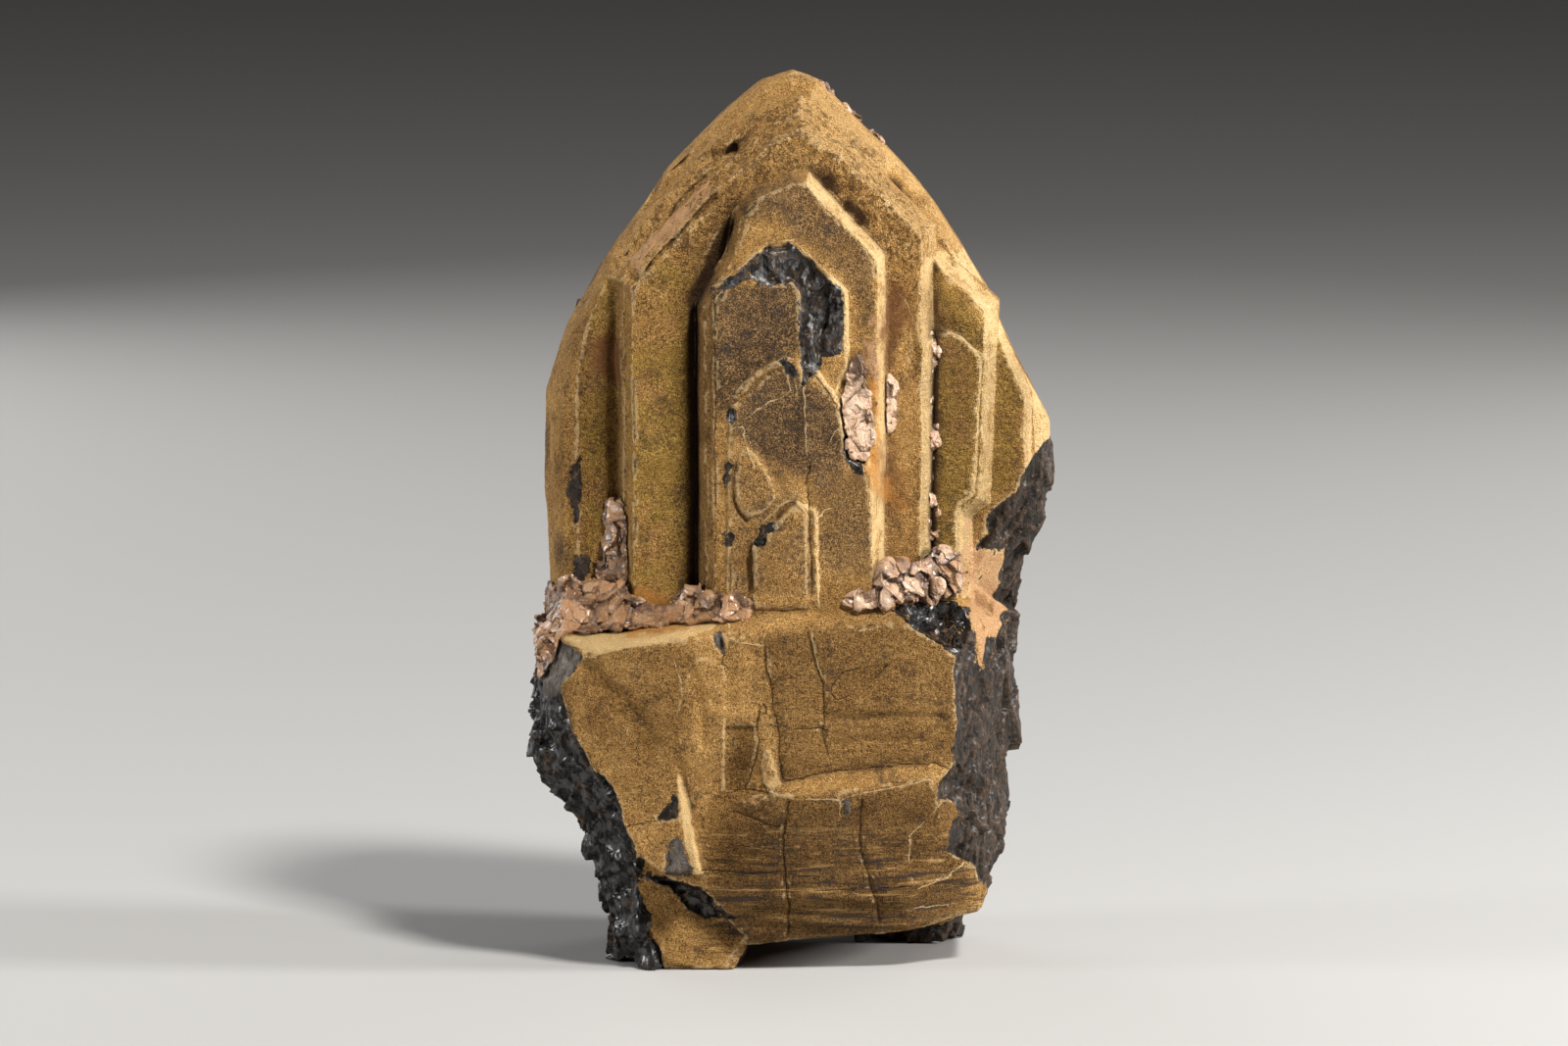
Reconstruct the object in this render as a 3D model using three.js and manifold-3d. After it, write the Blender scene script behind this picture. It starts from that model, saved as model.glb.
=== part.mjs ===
// A large euxenite crystal group with remnants of its feldspar matrix, standing upright on its broken base.
//
// The euxenite is one natural piece: an upper group of flat prismatic crystals, each with a pointed "house" top,
// stacked in parallel one in front of the other, and a blocky lower crystal under them. All of them grew
// together, so they are joined into one solid, and the broken corners are cut away from it. The feldspar is what
// is left of the rock that the crystal grew in. Each remnant is a solid of its own.
//
// Millimetres. +X is to the right, +Y is away from the viewer, +Z is up. The origin is on the surface that the
// specimen stands on, under the middle of its bounding box.

import * as THREE from "three";
import { ConvexGeometry } from "three/addons/geometries/ConvexGeometry.js";
import { mergeVertices } from "three/addons/utils/BufferGeometryUtils.js";
import Module from "manifold-3d";

const wasm = await Module();
wasm.setup();

// ---------------------------------------------------------------- driving dimensions

const height = 100; // from the surface that it stands on to the tip
const junction = 38; // the upper crystals meet the lower block at about this height
const root = junction - 8; // the upper crystals are sunk this far, so that they join the block
const floor = 0; // the height at which the base is flat where it touches
const under = floor - 1; // the feet are made this much too long, then cut flat at the floor
const clearance = 0.3; // the gap between the euxenite and each feldspar remnant
const middle = { x: 0.05, y: -1.7 }; // the middle of the whole, in the coordinates that the shapes are drawn in

// Where the face of each growth step lies along Y, from the back of the group to the viewer.
const face = {
  backThird: 17,
  backSecond: 14.5,
  backOuter: 11,
  trunkBack: 7,
  trunk: -3,
  shoulder: -5.2,
  outer: -8,
  roof: -9.6,
  second: -12,
  third: -15.7,
  fourth: -16.5,
  fifth: -17.2,
  sixth: -17.7,
};

// ---------------------------------------------------------------- solids

function solidOf(geometry) {
  for (const name of ["normal", "uv"]) geometry.deleteAttribute(name);
  const merged = mergeVertices(geometry, 1e-3);
  const vertProperties = new Float32Array(merged.attributes.position.array);
  const triVerts = new Uint32Array(merged.index.array);
  return new wasm.Manifold(new wasm.Mesh({ numProp: 3, vertProperties, triVerts }));
}

function geometryOf(solid) {
  const mesh = solid.getMesh();
  const points = new Float32Array(mesh.numVert * 3);
  for (let i = 0; i < mesh.numVert; i++) {
    const first = i * mesh.numProp;
    points.set(mesh.vertProperties.subarray(first, first + 3), i * 3);
  }
  const geometry = new THREE.BufferGeometry();
  geometry.setAttribute("position", new THREE.BufferAttribute(points, 3));
  geometry.setIndex(new THREE.BufferAttribute(mesh.triVerts, 1));
  return geometry;
}

const join = (solids) => solids.reduce((whole, next) => whole.add(next));

// The next three take a gap, which makes the euxenite larger all round, so that a neighbour can be cut to fit it
// with that clearance.

// A flat crystal seen from the front: its outline in (x, z), between y = front and y = back. Its edges slope
// outwards by flare over the first and the last slope millimetres, as the side faces of a tapering crystal do:
// straight, or rounded in so many facets.
function plate({ outline, front, back, slope, flare, inset = 0, facets = 1 }, gap) {
  const shape = new THREE.Shape(outline.map(([x, z]) => new THREE.Vector2(x, z)));
  const geometry = new THREE.ExtrudeGeometry(shape, {
    depth: back - front - 2 * slope + 2 * gap,
    bevelEnabled: true,
    bevelThickness: slope,
    bevelSize: flare + inset,
    bevelOffset: gap - inset,
    bevelSegments: facets,
  });
  geometry.translate(0, 0, slope - back - gap);
  geometry.rotateX(Math.PI / 2);
  return solidOf(geometry);
}

// A convex block from its corners.
function block(corners, gap) {
  const spread = gap ? [-gap, gap] : [0];
  const points = corners.flatMap(([x, y, z]) =>
    spread.flatMap((dx) => spread.flatMap((dy) => spread.map((dz) => new THREE.Vector3(x + dx, y + dy, z + dz)))),
  );
  return solidOf(new ConvexGeometry(points));
}

// A slab to cut away: width x length, with its near face through the point at, turned to face away from the rest.
function slab({ at, facing, width, length, roll = 0 }, gap) {
  const thickness = 30;
  const geometry = new THREE.BoxGeometry(width, length, thickness).translate(0, 0, thickness / 2 + gap);
  geometry.rotateZ(roll);
  const turn = new THREE.Quaternion();
  turn.setFromUnitVectors(new THREE.Vector3(0, 0, 1), new THREE.Vector3(...facing).normalize());
  geometry.applyQuaternion(turn).translate(...at);
  return solidOf(geometry);
}

// A rounded lump or scoop: an icosahedron stretched to these radii, tipped about Y.
function lump(at, radii, tip = 0) {
  const geometry = new THREE.IcosahedronGeometry(1, 1).scale(...radii).rotateY(tip);
  return solidOf(geometry.translate(...at));
}

// ---------------------------------------------------------------- the upper crystals

const crystals = {
  // The silhouette of the whole upper group.
  trunk: {
    outline: [
      [-26.6, root], [-28, 52.5], [-27.8, 63.5], [-25.2, 71.3], [-20.2, 79.9], [-14.1, 88.5], [-6.9, 95.8],
      [-3.4, 98.9], [0.2, height], [3.2, 98.8], [10.8, 91.4], [15.8, 85.8], [19.7, 79.9], [22.2, 75.4],
      [24.6, 69.2], [29.6, 60.3], [29.6, 52], [26.9, 43.7], [24.6, root],
    ],
    front: face.trunk, back: face.trunkBack, slope: 3.4, flare: 0, inset: 1.9, facets: 3,
  },
  // A low step on the right shoulder, between the trunk and the outer crystals.
  shoulder: {
    outline: [
      [8, root], [8, 86], [16.5, 82.5], [20.5, 76], [23.5, 70.2], [26.5, 63.5], [26.6, 54], [24, 45], [22, root],
    ],
    front: face.shoulder, back: 2, slope: 2, flare: 0.9,
  },
  // The outer crystals, with a steep roof on the left, and a lower and flatter one on the right.
  outerLeft: {
    outline: [
      [-23.9, root], [-24, 63], [-22.2, 69.4], [-17.6, 77.6], [-12, 85], [-5.2, 91.8], [-1.6, 94.4], [1.5, 94.8],
      [8, 89], [8, root],
    ],
    front: face.outer, back: 6, slope: 6, flare: 3.2, facets: 3,
  },
  outerRight: {
    outline: [[0, root], [0, 86], [8, 85.3], [15.4, 79.9], [22, 73.6], [21.2, 52.2], [19.2, 50.6], [19.6, root]],
    front: face.outer, back: 2, slope: 3, flare: 1.6,
  },
  outerRightStep: {
    outline: [[8, root], [8, 71.2], [17, 71.4], [19.2, 70.4], [21.2, 68], [20.4, 53], [18.6, 51.4], [19, root]],
    front: face.outer - 0.5, back: 0, slope: 0.5, flare: 0.3,
  },
  // Narrow steps along the left roof and the left edge.
  roof: {
    outline: [
      [-17, 49], [-18.9, 50], [-19.5, 68], [-19.2, 77], [-14.4, 83], [-8.2, 89.2], [-1.4, 95], [1, 96],
      [8, 89.6], [8, 49],
    ],
    front: face.roof, back: 0, slope: 4, flare: 1.5,
  },
  // The second crystal, the widest whole "house".
  second: {
    outline: [
      [-17.6, root], [-17.8, 76.5], [-16.9, 78.6], [-11.8, 84], [-8.6, 87.4], [-4, 90.8], [-1.6, 93.4], [1.2, 94.3],
      [6, 91], [14.8, 82.4], [14.9, 70], [14.5, root],
    ],
    front: face.second, back: 0, slope: 5, flare: 1.6,
  },
  // The third crystal, with a broken corner on its left roof.
  third: {
    outline: [
      [-9.6, root], [-9.7, 74.6], [-6.3, 80.6], [-5.4, 84.8], [-3.6, 87], [0.2, 88.4], [1.7, 88.6], [9.9, 80],
      [9.5, root],
    ],
    front: face.third, back: -6, slope: 3, flare: 1,
  },
  // Three thin growth steps on its face.
  fourth: {
    outline: [[-8.6, root], [-8.6, 75.4], [-4.1, 81], [0.6, 81], [6.1, 76.4], [6.2, 68], [4.6, 64.5], [7, root]],
    front: face.fourth, back: -12, slope: 0.8, flare: 0.35,
  },
  fifth: {
    outline: [
      [-7.2, root], [-6.9, 57], [-6.5, 65], [-4.2, 67.3], [-0.8, 69.3], [2.4, 68.2], [4.7, 65.2], [6.9, 61.2],
      [9.2, 55.8], [9.1, root],
    ],
    front: face.fifth, back: -10, slope: 1.5, flare: 0.6,
  },
  sixth: {
    outline: [[-4.1, root], [-4.3, 48.2], [-2.4, 49.8], [0.9, 52.8], [2.8, 52], [3.4, root]],
    front: face.sixth, back: -14, slope: 0.5, flare: 0.2,
  },
  // The crystals at the back of the group, stepped in the same way.
  backOuter: {
    outline: [[-22.5, root], [-22.8, 66], [-17.5, 76.5], [-2, 92.5], [12.5, 81], [22, 68.5], [22.4, 50], [20, root]],
    front: -2, back: face.backOuter, slope: 4, flare: 2,
  },
  backSecond: {
    outline: [[-8, root], [-8.2, 64], [2.4, 79.2], [14.6, 67.5], [14.8, root]],
    front: -2, back: face.backSecond, slope: 3.5, flare: 1.3,
  },
  backThird: {
    outline: [[-19.5, root], [-19.4, 52], [-12.5, 60.4], [-4.2, 51], [-4, root]],
    front: -2, back: face.backThird, slope: 4, flare: 1.2,
  },
};

// ---------------------------------------------------------------- the lower block, by the corners of its parts

const masses = {
  // Its upper half, from the ledge under the crystals to the step across its face.
  top: [
    [-22.8, -19.4, 36.4], [-7.4, -20.1, 38.3], [-5.2, -20.2, 37.4], [2.5, -20.1, 38.5], [11.3, -19.7, 39.5],
    [17.4, -19, 38.4], [18.8, -18.6, 36], [18.8, -18.4, 24],
    [17.6, -15.2, 41.6], [11.8, -17, 41.4], [2.5, -17.9, 40.7], [-4.6, -18.1, 39.8], [-7.9, -14, 39.3],
    [-25.8, -13, 37.4], [-28, -6, 37.6],
    [-26.1, -17.4, 32.3], [-23.9, -18.9, 26.2], [-20, -19, 21.6], [-18, -18.4, 16],
    [-8.6, -19.8, 11.6], [-3.4, -19.6, 12], [15.7, -18.9, 21],
    [-28, -12.5, 32], [-29.5, -7, 23.2], [-28.6, -6, 19.6], [-24, -9, 15.6],
    [24.2, -8, 38], [25.3, -5, 31.5], [25, -6, 15],
    [-26.5, 9, 38.5], [-28.6, 6, 27], [-25, 10, 17], [23.5, 10, 38], [24.2, 9, 26], [22.5, 11, 15],
    [-14, 17.2, 36.4], [10, 17.6, 37], [-16, 18.2, 26], [8, 19, 24], [-12, 17.6, 14], [12, 17.2, 13],
  ],
  // Its lower half, which stands out a little in front and narrows to the base.
  bottom: [
    [-4, -20.5, 16.6], [-1.4, -21.3, 20.4], [6.9, -21.2, 20.9], [15.7, -20.4, 22.2], [17, -19.6, 16.4],
    [-0.6, -19.8, 22], [15.7, -18.8, 24.2], [21, -15.5, 14.4],
    [-6, -20.1, 9], [3, -20.4, 8.4], [13.5, -18.9, 8.6], [20.6, -13.6, 9.2], [21.6, -12.4, 5.8],
    [13.5, -16.5, 4.3], [-0.8, -17.9, 3.2], [-4.6, -17.9, 2.8], [-8, -17.4, 5],
    [-18.4, -18.2, 17], [-16.6, -17.6, 10],
    [-24, -9, 15.8], [-22, -8, 10], [-20.8, -8, 5.6], [24.4, -8, 13], [25, -6, 20],
    [-23.4, 9, 20], [-21.6, 8, 12], [-19.4, 9, 3], [23.2, 8, 20], [22, 8, 12], [20.4, 8, 3],
    [-10, 16.6, 19], [12, 16.8, 19], [-9, 15, 6], [10, 14, 2.5],
  ],
  // The tilted plate at its lower left, with a wall on its right.
  tilted: [
    [-22.6, -18.5, 25.6], [-12.9, -19.5, 25], [-18.6, -20.2, 17.6], [-16.9, -21.2, 12], [-10.1, -22, 11.4],
    [-11.9, -21.2, 17.6], [-12.4, -17, 24.2], [-9.6, -17, 17.6], [-8.8, -17, 11.2], [-16.6, -15, 11],
    [-22, -14, 24],
  ],
  // What it stands on: one foot at the front left, and two at the back.
  footFront: [
    [-16.9, -17.4, 10.6], [-8.4, -18.2, 9], [-16.4, -17, under], [-6.8, -17.2, under], [-4.6, -17, 3.2],
    [-20.4, -9.5, under], [-21.2, -8, 8], [-6, -6, under], [-17.5, 0, under], [-19, 4, 9], [-3, -6, 7],
  ],
  footBackLeft: [
    [-18.5, 3, 8], [-17, 4, under], [-15.5, 11.4, under], [-6.5, 13, under], [-5, 5, under],
    [-18, 12, 9], [-5, 15, 9], [-2, 4, 8],
  ],
  footBackRight: [
    [5, -1, 7], [8, 2.2, under], [17, 1.4, under], [20.2, -1, 7], [19.6, 6, under], [15.6, 12.4, under],
    [6.5, 12.8, under], [21, 9, 8], [4, 15, 8],
  ],
  // The heart of the specimen, which fills it where the parts above don't meet.
  heart: [
    [-20, -8, 12], [18, -8, 12], [-18, 8, 12], [18, 8, 12],
    [-20, -2, 60], [18, -2, 60], [-18, 5, 60], [18, 5, 60],
  ],
};

// ---------------------------------------------------------------- the broken places

const chips = {
  // The large chip on the right shoulder.
  shoulder: { at: [24.2, -6.4, 50], facing: [0.7, -0.55, -0.45], width: 30, length: 17, roll: 0.5 },
  // The recess below the tilted plate.
  undercut: { at: [-14, -16.9, 4.4], facing: [0.05, -1, 0.12], width: 15, length: 10, roll: -0.6 },
  // Everything below the surface that it stands on.
  base: { at: [0, 0, floor], facing: [0, 0, -1], width: 90, length: 90 },
};

// Scoops: centre, radii and tip.
const scoops = {
  // The broken top corner of the fourth step.
  top: [[1.4, -18.9, 79.2], [5.4, 3.6, 3.2], 0.2],
  side: [[3.9, -18.8, 73], [2.3, 3.6, 6.4], 0.05],
  // The pocket that holds the middle feldspar.
  pocket: [[7.6, -17.6, 62.8], [2.2, 3, 6.4], -0.12],
  // The broken top right corner of the lower block.
  corner: [[18.4, -17.8, 41.6], [6.6, 5.2, 4.8], 0.5],

  // Broken hollows on the back, where another crystal came away.
  back: [[9, 29.5, 30], [17, 15.5, 21], 0.5],
  backLow: [[-6, 26, 17], [13, 10.5, 10], -0.3],
};

function euxenite(gap) {
  const grown = [
    ...Object.values(crystals).map((crystal) => plate(crystal, gap)),
    ...Object.values(masses).map((corners) => block(corners, gap)),
  ];
  const broken = [
    ...Object.values(chips).map((chip) => slab(chip, gap)),
    ...Object.values(scoops).map(([at, radii, tip]) => lump(at, radii.map((radius) => radius - gap), tip)),
  ];
  return join(grown).subtract(join(broken));
}

// ---------------------------------------------------------------- the feldspar

// Lumps: centre, radii and tip.
const feldspar = {
  // In the pocket beside the fifth step.
  feldspar_pocket: [
    [[7.6, -15.4, 67.2], [1.1, 1.9, 2.6]],
    [[7.4, -15.4, 63.8], [1.7, 2.1, 3]],
    [[8.1, -15.6, 60.2], [1.3, 2.1, 2.9], 0.2],
  ],
  // On the face of the second crystal, beside the wall of the third.
  feldspar_grain: [
    [[11, -12.3, 64.8], [1, 1.3, 2.2]],
    [[11.2, -12.3, 62.2], [0.9, 1.2, 1.9]],
  ],
  // The thin seam in the corner between the second crystal and the outer one.
  feldspar_seam: [74.5, 70.5, 66.2, 62.4, 58.2, 54, 50].map((z, i) => [
    [15.9 - i * 0.05, -8.6, z],
    [1.2 - 0.12 * (i % 3), 1.4, 3 + 0.4 * (i % 2)],
  ]),
  // The lump on the right end of the ledge.
  feldspar_ledge_right: [
    [[8.6, -17.8, 41.8], [2.8, 1.6, 1.3]],
    [[11.6, -15.6, 43.4], [2.5, 3.2, 2.7]],
    [[14.6, -13.4, 43.8], [2.5, 3, 2.1]],
    [[17.4, -11.4, 45], [1.8, 3, 2.4]],
  ],
  // The crust along the left half of the ledge, which runs round the left side of the group.
  feldspar_ledge_left: [
    [[-25.6, -9.6, 39.6], [2.9, 3.8, 3.8], 0.2],
    [[-27.2, -4, 38], [2.2, 4.6, 4.6]],
    [[-27.4, -10.6, 35.4], [1.9, 3.2, 3.4], 0.3],
    [[-22.4, -12.2, 40], [2.9, 2.8, 3]],
    [[-18.4, -13, 39.4], [2.8, 2.6, 2.3]],
    [[-14, -13.8, 38.9], [2.7, 2.1, 1.7]],
    [[-10.6, -14.8, 40.8], [2.6, 2.6, 2.6]],
    [[-6.6, -16.9, 40.8], [2.8, 1.8, 2.1]],
  ],
  // The rough filling at the foot of the groove left of the second crystal.
  feldspar_groove_left: [
    [[-20, -8.8, 45], [2, 2.2, 3.6], 0.1],
    [[-19.7, -8.6, 49.4], [1.4, 1.9, 3.2]],
  ],
  // The crust on the right slope of the roof, behind the edge.
  feldspar_roof_crust: [
    [[4.3, 2.2, 97], [2.8, 3, 1.7], 0.77],
    [[6.8, 2.6, 94.6], [2.9, 3.2, 1.8], 0.77],
    [[9.4, 2.8, 92.1], [3, 2.6, 1.6], 0.77],
  ],
};

// ---------------------------------------------------------------- the specimen

const coating = new THREE.MeshStandardMaterial({ color: 0x9a7a44, roughness: 0.85, metalness: 0 });
const matrix = new THREE.MeshStandardMaterial({ color: 0xc9ab94, roughness: 0.6, metalness: 0 });

function piece(name, solid, material) {
  const mesh = new THREE.Mesh(geometryOf(solid), material);
  mesh.name = name;
  return mesh;
}

const pieces = new THREE.Group();
pieces.position.set(-middle.x, -middle.y, 0);
pieces.add(piece("euxenite_crystal", euxenite(0), coating));

const bed = euxenite(clearance);
for (const [name, lumps] of Object.entries(feldspar)) {
  const remnant = join(lumps.map(([at, radii, tip]) => lump(at, radii, tip)));
  pieces.add(piece(name, remnant.subtract(bed), matrix));
}

const specimen = new THREE.Group();
specimen.add(pieces);

export default specimen;
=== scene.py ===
# %% [markdown]
# # A euxenite crystal group, finished in Blender
# Euxenite is a heavy black mineral that weathers to an ochre coat. This
# specimen is a bundle of pointed plates, one in front of the other, standing on
# a blocky broken crystal, with pinkish feldspar left in the grooves.
# The CAD frame already gives every crystal its place and size, so the work here
# is the natural surface: waviness, chips, cracks, fresh breaks and colour.

# %% Load the frame
import math

import bmesh
import bpy
import numpy as np
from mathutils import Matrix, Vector, noise
from mathutils.bvhtree import BVHTree
from mathutils.kdtree import KDTree


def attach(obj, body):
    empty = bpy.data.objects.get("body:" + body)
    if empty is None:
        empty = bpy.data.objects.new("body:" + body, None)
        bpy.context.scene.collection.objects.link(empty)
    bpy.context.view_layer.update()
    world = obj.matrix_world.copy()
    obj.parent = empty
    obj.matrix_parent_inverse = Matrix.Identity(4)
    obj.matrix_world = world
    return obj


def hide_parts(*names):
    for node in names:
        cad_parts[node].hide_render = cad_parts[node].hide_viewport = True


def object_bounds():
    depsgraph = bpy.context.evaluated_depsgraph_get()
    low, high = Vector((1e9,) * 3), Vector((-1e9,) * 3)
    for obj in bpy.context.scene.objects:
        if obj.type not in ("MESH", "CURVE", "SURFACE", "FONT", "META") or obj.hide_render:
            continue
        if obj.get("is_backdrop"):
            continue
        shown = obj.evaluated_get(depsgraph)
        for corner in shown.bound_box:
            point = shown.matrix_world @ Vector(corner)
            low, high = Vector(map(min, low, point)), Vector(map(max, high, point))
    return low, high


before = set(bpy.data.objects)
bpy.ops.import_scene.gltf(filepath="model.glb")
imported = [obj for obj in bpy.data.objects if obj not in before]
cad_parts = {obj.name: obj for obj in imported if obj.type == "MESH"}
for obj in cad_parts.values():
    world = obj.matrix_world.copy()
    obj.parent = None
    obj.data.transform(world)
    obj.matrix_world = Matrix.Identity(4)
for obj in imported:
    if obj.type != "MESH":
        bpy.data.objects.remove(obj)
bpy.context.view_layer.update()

MM = 0.001

# %% [markdown]
# ## Floor, light and camera
# A specimen is lit so that its relief reads: a soft box on the right draws every
# right-hand wall bright and leaves the grooves dark, a weaker one on the left
# keeps the rounded left column from going black, and one above lifts the roofs.
# The floor is a plain pale sheet, far larger than the object, so that no edge
# of it shows. The camera looks along +Y, seven degrees down.

# %% Floor
FLOOR_HALF = 6.0
floor_mesh = bmesh.new()
bmesh.ops.create_grid(floor_mesh, x_segments=1, y_segments=1, size=FLOOR_HALF)
floor_data = bpy.data.meshes.new("floor")
floor_mesh.to_mesh(floor_data)
floor_mesh.free()
floor = bpy.data.objects.new("floor", floor_data)
bpy.context.scene.collection.objects.link(floor)
floor.location.z = -0.0001
floor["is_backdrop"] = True

floor_paint = bpy.data.materials.new("pale floor")
floor_paint.use_nodes = True
paint = floor_paint.node_tree.nodes["Principled BSDF"]
paint.inputs["Base Color"].default_value = (0.42, 0.415, 0.405, 1)
paint.inputs["Roughness"].default_value = 0.75
floor_data.materials.append(floor_paint)


# %% Lights
def soft_box(name, place, side, watts, colour=(1, 1, 1)):
    """A square area light that faces the middle of the specimen."""
    light = bpy.data.lights.new(name, "AREA")
    light.size, light.energy, light.color = side, watts, colour
    holder = bpy.data.objects.new(name, light)
    bpy.context.scene.collection.objects.link(holder)
    holder.location = place
    aim = Vector((0, 0, 0.05)) - Vector(place)
    holder.rotation_euler = aim.to_track_quat("-Z", "Y").to_euler()


soft_box("key", (0.32, -0.43, 0.68), 0.13, 9.6, (1.0, 0.97, 0.93))
soft_box("right side", (0.62, -0.08, 0.20), 0.12, 5.6)
soft_box("left side", (-0.62, -0.10, 0.14), 0.14, 2.6)
soft_box("back left", (-0.35, 0.55, 0.24), 0.40, 1.6)
soft_box("back right", (0.40, 0.50, 0.18), 0.30, 1.2)

world = bpy.data.worlds.new("studio")
world.use_nodes = True
world.node_tree.nodes["Background"].inputs["Color"].default_value = (1, 1, 1, 1)
world.node_tree.nodes["Background"].inputs["Strength"].default_value = 0.03
bpy.context.scene.world = world
bpy.context.scene.view_settings.view_transform = "Standard"

# %% Camera
DISTANCE = 1.2
VIEW_WIDTH = 0.178  # metres across the picture at the specimen
ELEVATION = math.radians(7)
look_at = Vector((-0.00075, 0, 0.0487))
lens = bpy.data.cameras.new("camera")
lens.sensor_width = 36
lens.lens = lens.sensor_width * DISTANCE / VIEW_WIDTH
lens.clip_start = 0.01
camera = bpy.data.objects.new("camera", lens)
bpy.context.scene.collection.objects.link(camera)
camera.location = look_at + DISTANCE * Vector(
    (0, -math.cos(ELEVATION), math.sin(ELEVATION))
)
camera.rotation_euler = (look_at - camera.location).to_track_quat("-Z", "Y").to_euler()
bpy.context.scene.camera = camera
print("lens", round(lens.lens), "mm")

# %% [markdown]
# ## Wiring nodes in a line
# Every material here is built from the same few node kinds. One helper makes a
# node, sets its options and fills its inputs: an input is either a plain value
# or another node's output, which is linked. The maths helpers read like a sum.


# %% Node helpers
def add(tree, kind, inputs=None, **options):
    """A node of this kind; inputs holds values or outputs by name or number."""
    node = tree.nodes.new(kind)
    for option, value in options.items():
        setattr(node, option, value)
    for key, value in (inputs or {}).items():
        if isinstance(value, bpy.types.NodeSocket):
            tree.links.new(value, node.inputs[key])
        else:
            node.inputs[key].default_value = value
    return node


def sum_of(tree, operation, *values, clamp=False):
    """The output of a Math node."""
    inputs = dict(enumerate(values))
    made = add(tree, "ShaderNodeMath", inputs, operation=operation, use_clamp=clamp)
    return made.outputs[0]


def ramp(tree, value, low, high, start=0.0, end=1.0):
    """A smooth step of value from low to high, as start to end."""
    inputs = {"Value": value, "From Min": low, "From Max": high, "To Min": start, "To Max": end}
    made = add(tree, "ShaderNodeMapRange", inputs, interpolation_type="SMOOTHSTEP")
    return made.outputs["Result"]


def blend(tree, factor, first, second, mode="MIX"):
    """A colour between first and second."""
    inputs = {"Factor": factor}
    for socket, colour in ((6, first), (7, second)):
        linked = isinstance(colour, bpy.types.NodeSocket)
        inputs[socket] = colour if linked else (*colour, 1)
    return add(tree, "ShaderNodeMix", inputs, data_type="RGBA", blend_type=mode).outputs[2]


def mottle(tree, place, size, detail=2.0, rough=0.5, twist=0.0):
    """Noise between 0 and 1 in patches about size mm wide; size can be an output."""
    known = isinstance(size, (int, float))
    inputs = {
        "Vector": place,
        "Scale": 1 / size if known else sum_of(tree, "DIVIDE", 1.0, size),
        "Detail": detail,
        "Roughness": rough,
        "Distortion": twist,
    }
    return add(tree, "ShaderNodeTexNoise", inputs).outputs["Fac"]


def stretched(tree, place, amounts, turn=(0, 0, 0)):
    """The coordinates scaled by amounts after a turn, so a pattern on them is drawn out."""
    inputs = {"Vector": place, "Rotation": turn, "Scale": amounts}
    return add(tree, "ShaderNodeMapping", inputs, vector_type="POINT").outputs[0]


def mask_on(tree, name):
    """A value stored on the mesh's points."""
    return add(tree, "ShaderNodeAttribute", attribute_name=name).outputs["Fac"]


def place_in_mm(tree):
    """The Object coordinates in millimetres."""
    inputs = {0: add(tree, "ShaderNodeTexCoord").outputs["Object"], 1: (1000, 1000, 1000)}
    return add(tree, "ShaderNodeVectorMath", inputs, operation="MULTIPLY").outputs[0]


def new_group(name, inputs, outputs):
    """An empty shader group with float or vector sockets; returns it with its ends."""
    group = bpy.data.node_groups.new(name, "ShaderNodeTree")
    for label, start in inputs.items():
        kind = "NodeSocketVector" if start is None else "NodeSocketFloat"
        socket = group.interface.new_socket(label, in_out="INPUT", socket_type=kind)
        if start is not None:
            socket.default_value = start
    for label in outputs:
        group.interface.new_socket(label, in_out="OUTPUT", socket_type="NodeSocketFloat")
    return group, group.nodes.new("NodeGroupInput"), group.nodes.new("NodeGroupOutput")


def use_group(tree, group, **inputs):
    """The outputs of the group, placed in a material with its inputs filled by name."""
    return add(tree, "ShaderNodeGroup", inputs, node_tree=group).outputs


def new_material(name):
    """A material, its node tree, its shader and its coordinates in millimetres."""
    made = bpy.data.materials.new(name)
    made.use_nodes = True
    tree = made.node_tree
    return made, tree, tree.nodes["Principled BSDF"], place_in_mm(tree)


# %% [markdown]
# ## Effects that are used again and again
# The coat and the feldspar both have a sugary grain with dark specks in it, the
# breaks split into slabs and flakes, and every stain and break ends in a ragged
# border. Each effect is a node group built once, with its sizes as inputs in
# millimetres.
# *Sugary grain* gives a height for a Bump node and a mask of the specks.
# *Shards* cuts the surface into warped cells, each with a tone of its own.
# *Ragged border* turns a distance stored on the mesh into a crisp mask with a
# frayed edge: the distance can be coarse, because the fraying is finer than the
# mesh could ever hold.

# %% Group: sugary grain
grain, ends, out = new_group(
    "sugary grain", {"Place": None, "Grain": 0.3, "Clump": 1.5}, ("Height", "Pits")
)
spot = ends.outputs["Place"]
fine = mottle(grain, spot, ends.outputs["Grain"], 3.0, 0.70)
wider = sum_of(grain, "MULTIPLY", ends.outputs["Grain"], 2.7)
coarse = mottle(grain, spot, wider, 2.0, 0.60)
clumps = mottle(grain, spot, ends.outputs["Clump"], 3.0, 0.60)
height = sum_of(grain, "ADD", sum_of(grain, "MULTIPLY", fine, 0.78),
                sum_of(grain, "MULTIPLY", coarse, 0.22))
sunk = sum_of(grain, "ADD", height, sum_of(grain, "MULTIPLY", clumps, 0.25))
grain.links.new(height, out.inputs["Height"])
grain.links.new(ramp(grain, sunk, 0.66, 0.50), out.inputs["Pits"])

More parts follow.
